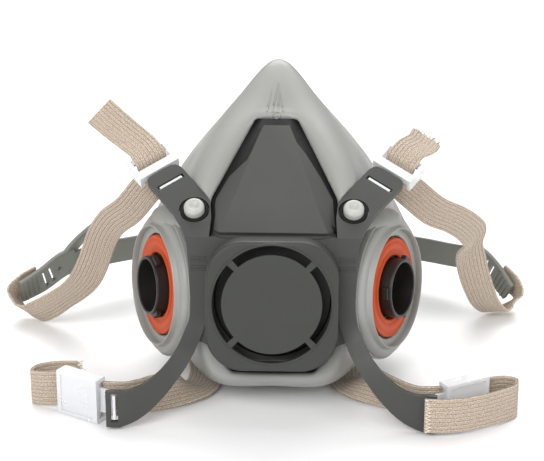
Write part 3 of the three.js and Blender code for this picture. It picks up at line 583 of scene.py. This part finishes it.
def facepiece():
    piece = face_shell()
    for side in (1, -1):
        way = MASK @ port_frame(side)
        collar = turned("collar", [
            (0, -2.6), (26, -2.6), (28.5, -3.4), (29.8, -5), (30.6, -8), (31, -10), (28.1, -15), (0, -15),
        ], way)
        boolean(piece, collar, "UNION")
        shoulder = Matrix.Translation((0, -9, 27)) @ Matrix.Diagonal((16.6, 7.2, 7, 1))
        boolean(piece, ball("shoulder", way @ shoulder), "UNION")
    for side in (1, -1):
        bore = turned("bore", [
            (0, 2), (PORT_RIM - 1.5, 2), (PORT_RIM - 1.5, -2.8), (GASKET_OUTER + 0.5, -2.8),
            (GASKET_OUTER + 0.5, -4.4), (GASKET_OUTER + 2, -4.4), (GASKET_OUTER + 2, -6.6), (17.4, -6.6),
            (17.4, -8.8), (PORT_RIM, -8.8), (PORT_RIM + 1, -32), (0, -32),
        ], MASK @ port_frame(side))
        boolean(piece, bore)
        stud_way = stud_frame(side, -math.pi / 4)
        boolean(piece, turned("stud_room", [(0, -12), (2.7, -12), (2.7, 12), (0, 12)], stud_way, 32))
        boolean(piece, blade_room(side))
    valve_outline = rounded_rect(28.4, -31.2, 28, 15)
    boolean(piece, plate("valve_room", valve_outline, 5, YOKE_FRONT + YOKE_THICKNESS + GAP))
    boolean(piece, panel_room(PANEL_GAP, 20))
    boolean(piece, box("yoke_room", -36.5, 36.5, -10, YOKE_FRONT + YOKE_THICKNESS + GAP, -22, 27))
    remesh = piece.modifiers.new("even", "REMESH")
    remesh.mode = "VOXEL"
    remesh.voxel_size = 0.75 * MM
    smooth = piece.modifiers.new("mould", "SMOOTH")
    smooth.factor = 0.5
    smooth.iterations = 6
    bake(piece)
    tidy_mesh(piece)
    return piece


face = facepiece()
face.name = "facepiece"
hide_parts("face_seal")
dress(face, ELASTOMER)

# The rim of each port: a thin raised lip, a falling band, a wide roll, a groove and a fine ridge.
PORT_RIM_PROFILE = [
    (25.1, -2.8), (25.1, -0.25), (25.3, 0), (25.7, 0), (25.95, -0.3), (26.2, -1.7), (26.6, -2.2),
    (27.2, -2.3),
    (28.2, -2.4), (29.2, -2.9), (29.9, -3.7), (30.2, -4.3), (30.25, -4.75), (30.45, -4.85), (30.75, -4.6),
    (31.05, -4.7), (31.2, -5.3), (31, -8), (28, -12), (26, -9), (25.3, -5),
]
for side, name in ((1, "left"), (-1, "right")):
    rim = turned(f"port_rim_{name}", PORT_RIM_PROFILE, MASK @ port_frame(side), 128, True)
    dress(rim, ELASTOMER)

# Fine ribs up the bridge of the nose, over a small moulded ring.
surface = BVHTree.FromObject(face, bpy.context.evaluated_depsgraph_get())


def on_nose(x, z, out=0.0):
    """The place on the facepiece in front of (x, z), in the mask's frame."""
    start = MASK @ Vector((x, 20, z)) * MM
    hit = surface.ray_cast(start, MASK.to_3x3() @ Vector((0, 1, 0)))[0]
    return MASK.inverted() @ (hit / MM) - Vector((0, out, 0))


# ---- Front panel and yoke ----
dress(from_node("front_frame", 0.35), PANEL)
# A near-black skirt of painted shade fills the gap round the panel, behind its front edge.
shade_skirt = panel_room(PANEL_GAP, -SHADE_SKIRT_DEPTH)
shade_skirt.name = "panel_shade_skirt"
tidy_mesh(shade_skirt)
dress(shade_skirt, PAINTED_SHADE)
dress(from_node("harness_yoke", 0.45), YOKE)
for side, name in ((1, "left"), (-1, "right")):
    near, far = sorted((side * 27.4, side * 34))
    for i, z in enumerate((12, 13.4, 15.8, 17.2)):
        low, high = z - 0.35, z + 0.35
        ridge = box(f"yoke_ridge_{name}_{i}", near, far, YOKE_FRONT - 0.35, YOKE_FRONT + 0.6, low, high)
        dress(soften(ridge, 0.25, 3), YOKE)


# ---- Exhalation cover ----
def cover():
    low, high = -COVER_HALF - 1, COVER_HALF - 1
    rings = []
    for a in np.linspace(0, math.pi / 2, 7):
        inset, y = COVER_BEVEL * (1 - math.sin(a)), COVER_BEVEL * (1 - math.cos(a))
        outline = rounded_rect(COVER_HALF - inset, low + inset, high - inset, COVER_CORNER - inset)
        rings.append([(x, y, z) for x, z in outline])
    rings.append([(x, COVER_DEPTH, z) for x, _, z in rings[-1]])
    piece = make("valve_cover", *loft(rings))
    wall = COVER_WALL
    inside = rounded_rect(COVER_HALF - wall, low + wall, high - wall, COVER_CORNER - wall)
    boolean(piece, plate("inside", inside, wall, COVER_DEPTH + 2))
    turn = math.pi / 2 - SPOKE_WIDTH / SLOT_INNER
    for i in range(4):
        start = math.pi / 4 + i * math.pi / 2 + SPOKE_WIDTH / SLOT_INNER / 2
        angles = np.linspace(start, start + turn, 40)
        outline = [(SLOT_OUTER * math.cos(a), SLOT_OUTER * math.sin(a)) for a in angles]
        outline += [(SLOT_INNER * math.cos(a), SLOT_INNER * math.sin(a)) for a in angles[::-1]]
        boolean(piece, plate("slot", outline, -5, wall + 1))
    tidy_mesh(piece, flat=0.3)
    soften(piece, 0.3, 3, 40)
    return piece


valve_cover = cover()
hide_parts("exhalation_cover")
dress(valve_cover, COVER, "exhalation_cover")
lip = turned("cover_lip", [
    (SLOT_OUTER + 0.15, 0.4), (SLOT_OUTER + 0.15, -0.1), (SLOT_OUTER + 0.35, -0.3), (SLOT_OUTER + 0.75, -0.3),
    (SLOT_OUTER + 1.05, 0), (SLOT_OUTER + 1.05, 0.4),
], MASK, 128, True)
dress(lip, COVER, "exhalation_cover")
dress(from_node("valve_seat", 0.2), SEAT)
dress(from_node("exhalation_flap", 0.15), FLAPS, "exhalation_flap")

# ---- Ports, gaskets and studs ----
for side, name in ((1, "left"), (-1, "right")):
    way = MASK @ port_frame(side)
    tube = turned("tube", [
        (TUBE_INNER, 2.2), (TUBE_INNER + 0.3, 2.5), (TUBE_OUTER - 0.5, 2.5), (TUBE_OUTER, 2),
        (TUBE_OUTER, -4.6), (22.6, -4.6), (22.6, -6.3), (17, -6.3), (17, -13), (15.6, -13), (15.6, -7.6),
        (TUBE_INNER, -7.6),
    ], way, 96, True)
    parts = [soften(tube, 0.18, 2, 35)]
    for degrees in (90, 210, 330):
        turn = way @ Matrix.Rotation(math.radians(degrees), 4, "Y")
        lug = box("lug", -2.6, 2.6, -0.8, 1.6, TUBE_OUTER - 0.6, TUBE_OUTER + 1.5, turn)
        parts.append(soften(lug, 0.3, 3))
    for degrees in (0, 90):
        turn = way @ Matrix.Rotation(math.radians(degrees), 4, "Y")
        parts.append(soften(box("bar", -16.2, 16.2, -11.6, -9.8, -0.8, 0.8, turn), 0.2, 2))
    parts.append(turned("hub", [(1.5, -11.6), (3.2, -11.6), (3.2, -9.8), (1.5, -9.8)], way, 32, True))
    port = joined(f"bayonet_{name}", parts)
    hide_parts(f"inlet_port_{name}")
    dress(port, PORTS)
    seal = turned(f"seal_{name}", [
        (GASKET_INNER, -4.3), (GASKET_INNER, -2.7), (GASKET_INNER + 0.4, -2.35), (14.9, -2.3), (15.3, -2.75),
        (15.7, -2.75), (16.1, -2.3), (19.4, -2.3), (19.8, -2.7), (20.2, -2.7), (20.6, -2.3),
        (GASKET_OUTER - 0.35, -2.35), (GASKET_OUTER, -2.7), (GASKET_OUTER, -4.3),
    ], way, 128, True)
    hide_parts(f"inlet_gasket_{name}")
    dress(seal, GASKETS)
    stud_way = stud_frame(side, 3 * math.pi / 4)
    stud = turned(f"stud_{name}", [
        (0, -7.5), (2.4, -7.5), (2.4, 0), (4.3, 0.2), (4.3, 3), (4, 3.7), (3.3, 4.15), (2.5, 4.25), (1.9, 4),
        (1.3, 3.5), (0.6, 3.25), (0, 3.2),
    ], stud_way, 48)
    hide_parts(f"yoke_stud_{name}")
    dress(stud, LIT_STUDS)
    # A near-black ring of painted shadow in the yoke's hole round each stud.
    seat = turned(f"stud_shade_ring_{name}", [
        (4.4, 0), (5.9, 0), (5.9, 0.9), (5.5, 1.2), (4.8, 1.2), (4.4, 0.8),
    ], stud_way, 48, True)
    dress(seat, PAINTED_SHADE)
    dress(from_node(f"inhalation_flap_{name}", 0.15), FLAPS, f"inhalation_flap_{name}")

# ---- Buckles ----
for level in ("upper", "lower"):
    for name in ("left", "right"):
        node_name = f"buckle_{level}_{name}"
        dress(from_node(node_name, 0.35), BUCKLES, node_name)


# ---- Flat bands ----
class Band:
    """A flat band along stops of (place, across, width), with the frame at each step along it."""

    def __init__(self, stops, steps):
        self.stops, self.steps = stops, steps
        self.places, self.ways = spline([place for place, _, _ in stops], steps)
        acrosses, widths = [], []
        for i, way in enumerate(self.ways):
            share = i / steps
            before = min(int(share), len(stops) - 2)
            mix = share - before
            across = np.array(stops[before][1]) * (1 - mix) + np.array(stops[before + 1][1]) * mix
            across = across - way * (across @ way)
            acrosses.append(across / np.linalg.norm(across))
            widths.append(stops[before][2] * (1 - mix) + stops[before + 1][2] * mix)
        self.acrosses, self.widths = np.array(acrosses), np.array(widths)
        self.normals = np.cross(self.ways, self.acrosses)
        self.runs = np.concatenate([[0], np.cumsum(np.linalg.norm(np.diff(self.places, axis=0), axis=1))])

    def length(self):
        return self.runs[-1]

    def at(self, run, across=0.0, height=0.0):
        """The place a given length along, so far across and so far off the middle of the band."""
        place, side, up = (
            np.array([np.interp(run, self.runs, values[:, k]) for k in range(3)])
            for values in (self.places, self.acrosses, self.normals)
        )
        return place + side * across + up * height

    def frame(self, run):
        """A matrix at a length along: x across, y off the band and z along."""
        here, side, up = self.at(run), self.at(run, 1) - self.at(run), self.at(run, 0, 1) - self.at(run)
        matrix = Matrix((side, up, np.cross(side, up))).transposed().to_4x4()
        matrix.translation = here
        return matrix

    def mesh(self, name, section, first=0, last=None):
        """A skin between two stops over a section of (share of the half width, height)."""
        start = first * self.steps
        end = (len(self.stops) - 1 if last is None else last) * self.steps
        rings = [
            [
                self.places[i] + self.acrosses[i] * s * self.widths[i] / 2 + self.normals[i] * h
                for s, h in section
            ]
            for i in range(start, end + 1)
        ]
        piece = make(name, *loft(rings), REST)
        layer = piece.data.uv_layers.new(name="weave")
        for loop in piece.data.loops:
            ring, spot = divmod(loop.vertex_index, len(section))
            at = start + ring
            layer.data[loop.index].uv = (self.runs[at], section[spot][0] * self.widths[at] / 2)
        return piece


def webbing_section():
    """Lengthwise ribs on both faces, with rounded edges."""
    top = []
    for s in np.linspace(-1, 1, STRAP_RIBS * 5 + 1):
        rib = abs(math.sin(math.pi * STRAP_RIBS * (s + 1) / 2)) ** 0.7
        edge = math.sqrt(max(0, 1 - max(0, (abs(s) - 0.94) / 0.06) ** 2))
        top.append((s, (STRAP_THICKNESS / 2 - 0.2 + 0.2 * rib) * (0.35 + 0.65 * edge)))
    return top + [(s, -h) for s, h in top[::-1]]


def slab_section(thickness, width):
    """A rectangle with rounded corners."""
    radius = thickness * 0.4
    outline = rounded_rect(width / 2, -thickness / 2, thickness / 2, radius, 4)
    return [(x / (width / 2), h) for x, h in outline]


def rows(list_of_rows, width=None):
    made = []
    for row in list_of_rows:
        wide = width or row[3]
        across = row[3:6] if width else row[4:7]
        made.append((row[0:3], Vector(across).normalized(), wide))
    return made


def through_buckle(matrix, pairs, width, across=None):
    side = across or matrix.to_3x3() @ Vector((0, 1, 0))
    return [(matrix @ Vector((u, 0, w)), side, width) for u, w in pairs]


def right_frame(matrix):
    """The same buckle frame on the wearer's right."""
    origin, u, w = (MIRROR @ v for v in (matrix.translation, matrix.col[0].to_3d(), matrix.col[2].to_3d()))
    return frame_of(origin, u, w)


UP = Vector((0, 0, 1))
UPPER_THREAD = [[22.4, 1.9], [18.8, 1.7], [16.3, 0.8], [14.6, -2], [12.4, -3.9], [11, -5.6]]
LOWER_THREAD = [[29.5, -2.4], [25.5, -2.4], [20, -2.6], [15, -3], [11, -4.4], [6, -6]]
UPPER_LEFT = Band([
    *rows([
        [64, 62.5, 104.4, 0.7, -0.45, -0.55],
        [62.2, 58.4, 103.2, 0.75, -0.48, -0.45],
    ], UPPER_STRAP_WIDTH),
    *through_buckle(upper_buckle_frame, UPPER_THREAD, UPPER_STRAP_WIDTH, -upper_buckle_frame.col[1].to_3d()),
    *rows([
        [51.6, 54, 87.6, 0.85, -0.35, 0.35],
        [58, 57, 81.6, 0.68, 0.06, 0.73],
        [68.3, 62, 71.6, 0.58, 0.12, 0.8],
        [78.1, 70, 64.8, 0.62, 0.03, 0.79],
        [85.1, 78, 57.8, 0.72, 0.15, 0.68],
        [88.6, 86, 50.6, 0.72, 0.45, 0.54],
        [87, 92, 42.8, 0.86, 0.42, 0.28],
        [88.1, 96, 35.9, 0.95, 0.12, 0.29],
        [90.1, 100, 27.7, 0.97, 0, 0.26],
        [93.2, 104.4, 18.2, 0.95, -0.19, 0.26],
        [97, 109, 9.4, 0.9, -0.33, 0.25],
        [102.5, 114, 3.6, 0.82, -0.5, 0.24],
        [108.4, 117.4, 4.6, 0.5, -0.75, 0.45],
        [112.2, 118.8, 8.4, 0.22, -0.55, 0.8],
        [111.2, 120.6, 13, 0.15, -0.47, 0.87],
        [105.2, 125.6, 17.8, 0.15, -0.45, 0.88],
    ], UPPER_STRAP_WIDTH),
], 8)
UPPER_RIGHT = Band([
    *rows([
        [-76, 62, 115, -0.74, -0.38, -0.55],
        [-70, 59.4, 110.6, -0.76, -0.43, -0.48],
        [-63.8, 56.6, 106.4, -0.79, -0.47, -0.38],
    ], UPPER_STRAP_WIDTH),
    *through_buckle(right_frame(upper_buckle_frame), UPPER_THREAD, UPPER_STRAP_WIDTH),
    *rows([
        [-51.6, 54, 87.6, -0.85, -0.35, 0.35],
        [-57, 57, 80.8, -0.68, 0.1, 0.71],
        [-64.5, 60, 71, -0.69, 0.04, 0.72],
        [-72.3, 66, 63.4, -0.73, 0.06, 0.68],
        [-77.3, 72, 55.3, -0.88, 0.05, 0.47],
        [-81, 77, 45.7, -0.93, 0.04, 0.37],
        [-84, 81, 37.4, -0.9, 0.09, 0.43],
        [-88.6, 85, 28, -0.89, -0.16, 0.44],
        [-94, 88, 21.5, -0.78, -0.3, 0.52],
        [-101, 91.5, 15.6, -0.7, -0.35, 0.58],
        [-109, 95, 9.4, -0.74, -0.2, 0.62],
        [-115.5, 99, 5.6, -0.84, -0.1, 0.5],
        [-121.8, 102.6, 7, -0.5, -0.52, 0.69],
        [-124.6, 104.8, 12, -0.22, -0.5, 0.84],
        [-121.8, 106.6, 15.6, -0.15, -0.45, 0.88],
        [-115.4, 112.4, 18, -0.15, -0.45, 0.88],
    ], UPPER_STRAP_WIDTH),
], 8)
LOWER_LEFT = Band([
    *rows([
        [62.4, -12.6, 9.6, 0, 0, 1],
        [70, -12.9, 9.6, 0, 0, 1],
        [77, -11.2, 9.4, 0, 0, 1],
        [85.5, -6.8, 9, 0, 0, 1],
        [95, 0.2, 8.4, 0, 0, 1],
        [101, 6.6, 7.9, 0, 0, 1],
        [101.6, 11.6, 8, 0, 0, 1],
        [97.4, 12.6, 8.6, 0, 0, 1],
    ], STRAP_WIDTH),
    *through_buckle(lower_buckle_frame, LOWER_THREAD, STRAP_WIDTH, UP),
    *rows([
        [61.2, 1.2, 8.6, 0, 0, 1],
        [55, 6, 8.3, 0, 0, 1],
        [48, 12.6, 8.2, 0.1, 0.1, 0.99],
        [40.5, 19.5, 7.9, 0.36, 0.4, 0.84],
        [34.5, 28, 4.7, 0.8, 0.45, 0.4],
        [31, 42, 1.3, 1, 0, 0.02],
        [32, 60, 1.3, 0.99, -0.1, 0],
        [38, 82, 2, 0.96, -0.28, 0.05],
        [40, 102, 6.9, 0.6, 0, 0.8],
        [27, 121.6, 7.9, 0, 0, 1],
        [12, 123.8, 7.9, 0, 0, 1],
    ], STRAP_WIDTH),
], 8)
LOWER_RIGHT = Band([
    *rows([
        [-83.5, 22.4, 7.9, 0, 0.1, 1],
        [-90, 22.2, 7.9, 0, 0.1, 1],
        [-96.5, 21, 7.9, 0, 0.05, 1],
        [-101, 17.8, 7.9, 0, 0, 1],
        [-101.6, 13.4, 8, 0, 0, 1],
        [-97.8, 10.6, 8.6, 0, 0, 1],
    ], STRAP_WIDTH),
    *through_buckle(right_frame(lower_buckle_frame), LOWER_THREAD, STRAP_WIDTH, UP),
    *rows([
        [-61.2, 1.2, 8.6, 0, 0, 1],
        [-55, 5.4, 8.2, 0, 0, 1],
        [-46, 11.6, 7.2, -0.3, 0.45, 0.84],
        [-38, 18, 5.8, -0.55, 0.6, 0.58],
        [-32, 27, 2.4, -0.86, 0.5, 0.05],
        [-30, 42, 1.3, -1, 0, 0.02],
        [-32, 60, 1.3, -0.99, -0.1, 0],
        [-38, 82, 2, -0.96, -0.28, 0.05],
        [-40, 102, 6.9, -0.6, 0, 0.8],
        [-27, 121.6, 7.9, 0, 0, 1],
        [-12, 123.8, 7.9, 0, 0, 1],
    ], STRAP_WIDTH),
], 8)


def dress_strap(piece, material, cad_node, other, start, end):
    """Gives a piece of a strap its material, bakes its place into its mesh and hides the CAD node it stands
    for, if one is given.
    """
    piece.data.materials.clear()
    piece.data.materials.append(material)
    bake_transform(piece)
    if cad_node:
        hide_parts(cad_node)


webbing = webbing_section()
for band, cad_node, label, buckle_end in (
    (UPPER_LEFT, "strap_upper_left", "upper_left", ((60, 55, 72), (60, 55, 90))),
    (UPPER_RIGHT, "strap_upper_right", "upper_right", ((-60, 55, 72), (-60, 55, 90))),
    (LOWER_LEFT, "strap_lower_left", "lower_left", ((50, 10, 8), (64, 10, 8))),
    (LOWER_RIGHT, "strap_lower_right", "lower_right", ((-50, 10, 8), (-64, 10, 8))),
):
    split = {"upper_left": 18, "upper_right": 18, "lower_left": 20, "lower_right": None}[label]
    front = band.mesh(f"webbing_{label}_front", webbing, 0, split)
    dress_strap(front, STRAP, cad_node, f"buckle_{label}", *buckle_end)
    if split:
        back = band.mesh(f"webbing_{label}_back", webbing, split)
        if label == "lower_left":
            dress_strap(back, STRAP, cad_node, "neck_clip_hook", (32, 60, 2), (27, 121.6, 8))
        else:
            dress_strap(back, STRAP, cad_node, "head_cradle", band.stops[split][0], band.stops[22][0])


def tube(points, radius, sides=5):
    """Points and faces of a thin round thread."""
    points = np.asarray(points, float)
    ways = np.gradient(points, axis=0)
    rings = []
    for place, way in zip(points, ways):
        way = Vector(way).normalized()
        side = way.orthogonal().normalized()
        other = way.cross(side)
        rings.append([
            Vector(place) + (side * math.cos(t) + other * math.sin(t)) * radius
            for t in np.linspace(0, 2 * math.pi, sides, endpoint=False)
        ])
    return loft([[tuple(p) for p in ring] for ring in rings])


def threads(name, lines, radius, matrix=REST):
    points, faces = [], []
    for line in lines:
        some, more = tube(line, radius)
        faces += [tuple(i + len(points) for i in face) for face in more]
        points += [tuple(p) for p in some]
    return make(name, points, faces, matrix)


def fray(name, band, other, start, end, length, seed):
    """Loose yarn ends at the cut start of a band."""
    chance = random.Random(seed)
    lines = []
    for _ in range(70):
        across = chance.uniform(-0.5, 0.5) * band.widths[0] * 0.96
        height = chance.uniform(-0.4, 0.4)
        root = band.at(1.0, across, height)
        far = chance.uniform(0.35, 1) * length
        bend = np.array([chance.uniform(-0.45, 0.45) for _ in range(3)])
        way = -band.ways[0]
        lines.append([root + way * far * t + bend * far * t * t for t in (0, 0.25, 0.5, 0.75, 1)])
    dress_strap(threads(name, lines, 0.14), STRAP, None, other, start, end)


fray("fray_upper_left", UPPER_LEFT, "buckle_upper_left", (60, 55, 72), (60, 55, 90), 3.2, 3)
fray("fray_lower_right", LOWER_RIGHT, "buckle_lower_right", (-50, 10, 8), (-64, 10, 8), 3.5, 7)
zigzags = [
    [LOWER_LEFT.at(0.5 + 1.9 * (i % 2), -7.2 + 14.4 * i / 18, height) for i in range(19)]
    for height in (0.74, -0.74)
]
stitches = threads("stitching_lower_left", zigzags, 0.36)
dress_strap(stitches, THREAD, None, "buckle_lower_left", (50, 10, 8), (64, 10, 8))

# ---- Fine ribs up the bridge of the nose, over a small moulded ring ----
nose_ribs = []
for foot, top, height in ((-4.2, -2.2, 9), (-1.9, 0.3, 11.5), (0.5, 0.9, 11), (2.9, 1.1, 8.5)):
    rise = np.linspace(0, 1, 12)
    nose_ribs.append([on_nose(foot + (top - foot) * t, 73 + height * t, 0.12 - 0.5 * t * t) for t in rise])
ring_turns = np.linspace(0, 2 * math.pi, 25)
nose_ribs.append([on_nose(1.4 * math.sin(t), 71.6 + 1.4 * math.cos(t), 0.1) for t in ring_turns])
dress(threads("nose_ribs", nose_ribs, 0.42, MASK), ELASTOMER)

# ---- Head cradle ----
CRADLE_THICKNESS = 2
LOWER_BAND = Band(rows([
    [-101, 121, 22, 12, 0.1, 0.35, -0.93],
    [-92, 129, 22.4, 12, 0.03, 0.12, -0.99],
    [-79, 140, 22, 12, 0, 0, -1],
    [-42, 159, 21.5, 12, 0, 0, -1],
    [0, 166, 21, 12, 0, 0, -1],
    [40, 162, 20.6, 12, 0, 0, -1],
    [70, 150, 20.4, 12, 0, 0, -1],
    [84, 141, 21, 12, -0.03, 0.12, -0.99],
    [93, 133.4, 22.6, 12, -0.1, 0.35, -0.93],
]), 10)
UPPER_BAND = Band(rows([
    [-103, 119, 24, 9, 0.15, 0.45, -0.88],
    [-99, 122.5, 30, 10, 0.1, 0.8, -0.6],
    [-90.8, 130, 36.9, 11, 0.05, 0.9, -0.44],
    [-73.9, 145, 48.8, 12, 0, 0.95, -0.3],
    [-40, 163, 60, 12, 0, 0.98, -0.2],
    [0, 170, 64, 12, 0, 0.98, -0.2],
    [40, 166, 59, 12, 0, 0.98, -0.2],
    [72, 151, 46, 12, 0, 0.95, -0.3],
    [86, 139, 35, 11, -0.05, 0.9, -0.44],
    [92, 133, 28.6, 10, -0.1, 0.8, -0.6],
    [95.4, 130.4, 24.6, 9, -0.15, 0.45, -0.88],
]), 10)
RIGHT_END = Band(rows([
    [-121.5, 103, 14.4, 12, 0.15, 0.45, -0.88],
    [-113, 110.6, 17.4, 14, 0.15, 0.45, -0.88],
    [-104, 118.4, 22.4, 15, 0.15, 0.45, -0.88],
    [-99, 122.6, 23.6, 14, 0.12, 0.4, -0.9],
]), 8)
LEFT_END = Band(rows([
    [108.4, 118, 11.4, 12, -0.15, 0.45, -0.88],
    [103.4, 123.6, 17, 14, -0.15, 0.45, -0.88],
    [96.4, 130.4, 22.6, 15, -0.15, 0.45, -0.88],
    [91.4, 134.8, 23.6, 14, -0.12, 0.4, -0.9],
]), 8)
parts = [band.mesh("cradle_band", slab_section(CRADLE_THICKNESS, 12)) for band in (LOWER_BAND, UPPER_BAND)]
for band in (RIGHT_END, LEFT_END):
    parts.append(band.mesh("cradle_end", slab_section(CRADLE_THICKNESS + 0.4, 14)))
cradle = parts.pop(0)
for part in parts:
    boolean(cradle, part, "UNION")
for band in (RIGHT_END, LEFT_END):
    for run in (13.5, 17.5):
        boolean(cradle, box("slot", -4.6, 4.6, -4, 4, -0.9, 0.9, REST @ band.frame(run)))
    hole = turned("hole", [(0, -4), (1.3, -4), (1.3, 4), (0, 4)], REST @ band.frame(22), 24)
    boolean(cradle, hole)
tidy_mesh(cradle)
ribs = [cradle]
for band in (RIGHT_END, LEFT_END):
    for run in (2.2, 4.6, 7, 9.4):
        rib = box("rib", -5.6, 5.6, -1.75, 1.75, -0.45, 0.45, REST @ band.frame(run))
        ribs.append(soften(rib, 0.3, 3))
cradle = joined("crown_cradle", ribs)
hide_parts("head_cradle")
dress(cradle, CRADLE, "head_cradle")

# ---- Neck clip ----
dress(from_node("neck_clip_loop", 0.5), CLIP)
dress(from_node("neck_clip_hook", 0.5), CLIP, "neck_clip_hook")

# ---- Floor, light and camera ----
FLOOR_HALF = 4000
floor_corners = [(x * FLOOR_HALF, y * FLOOR_HALF, 0) for x, y in ((-1, -1), (1, -1), (1, 1), (-1, 1))]
floor = make("floor", floor_corners, [(0, 1, 2, 3)], Matrix())
made, tree, base = shader("floor", (0.93, 0.93, 0.93), 0.6)
floor.data.materials.append(made)
floor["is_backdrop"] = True

world = bpy.data.worlds.new("studio")
bpy.context.scene.world = world
world.use_nodes = True
world.node_tree.nodes["Background"].inputs["Color"].default_value = (1, 1, 1, 1)
world.node_tree.nodes["Background"].inputs["Strength"].default_value = 0.45
bpy.context.scene.view_settings.view_transform = "Standard"


def soft_light(name, place, size, power, target=(0, 0, 0.05)):
    lamp = bpy.data.lights.new(name, "AREA")
    lamp.size = size
    lamp.energy = power
    made = bpy.data.objects.new(name, lamp)
    made.location = place
    made.rotation_euler = (Vector(target) - Vector(place)).to_track_quat("-Z", "Y").to_euler()
    bpy.context.scene.collection.objects.link(made)


soft_light("key", (-0.4, -0.95, 0.75), 0.7, 10)
soft_light("fill", (0.85, -0.75, 0.55), 0.7, 4.5)
soft_light("top", (0.1, 0.35, 1.0), 0.8, 4)
soft_light("back", (0, 1.6, 1.4), 1.6, 34, (0, 1.3, 0))

lens = bpy.data.cameras.new("camera")
lens.lens = 114.4
lens.sensor_width = 36
camera = bpy.data.objects.new("camera", lens)
camera.location = (0.02905, -0.72835, 0.31992)
camera.rotation_euler = Vector((-0.0328, 0.9391, -0.3420)).to_track_quat("-Z", "Y").to_euler()
bpy.context.scene.collection.objects.link(camera)
bpy.context.scene.camera = camera

low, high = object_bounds()
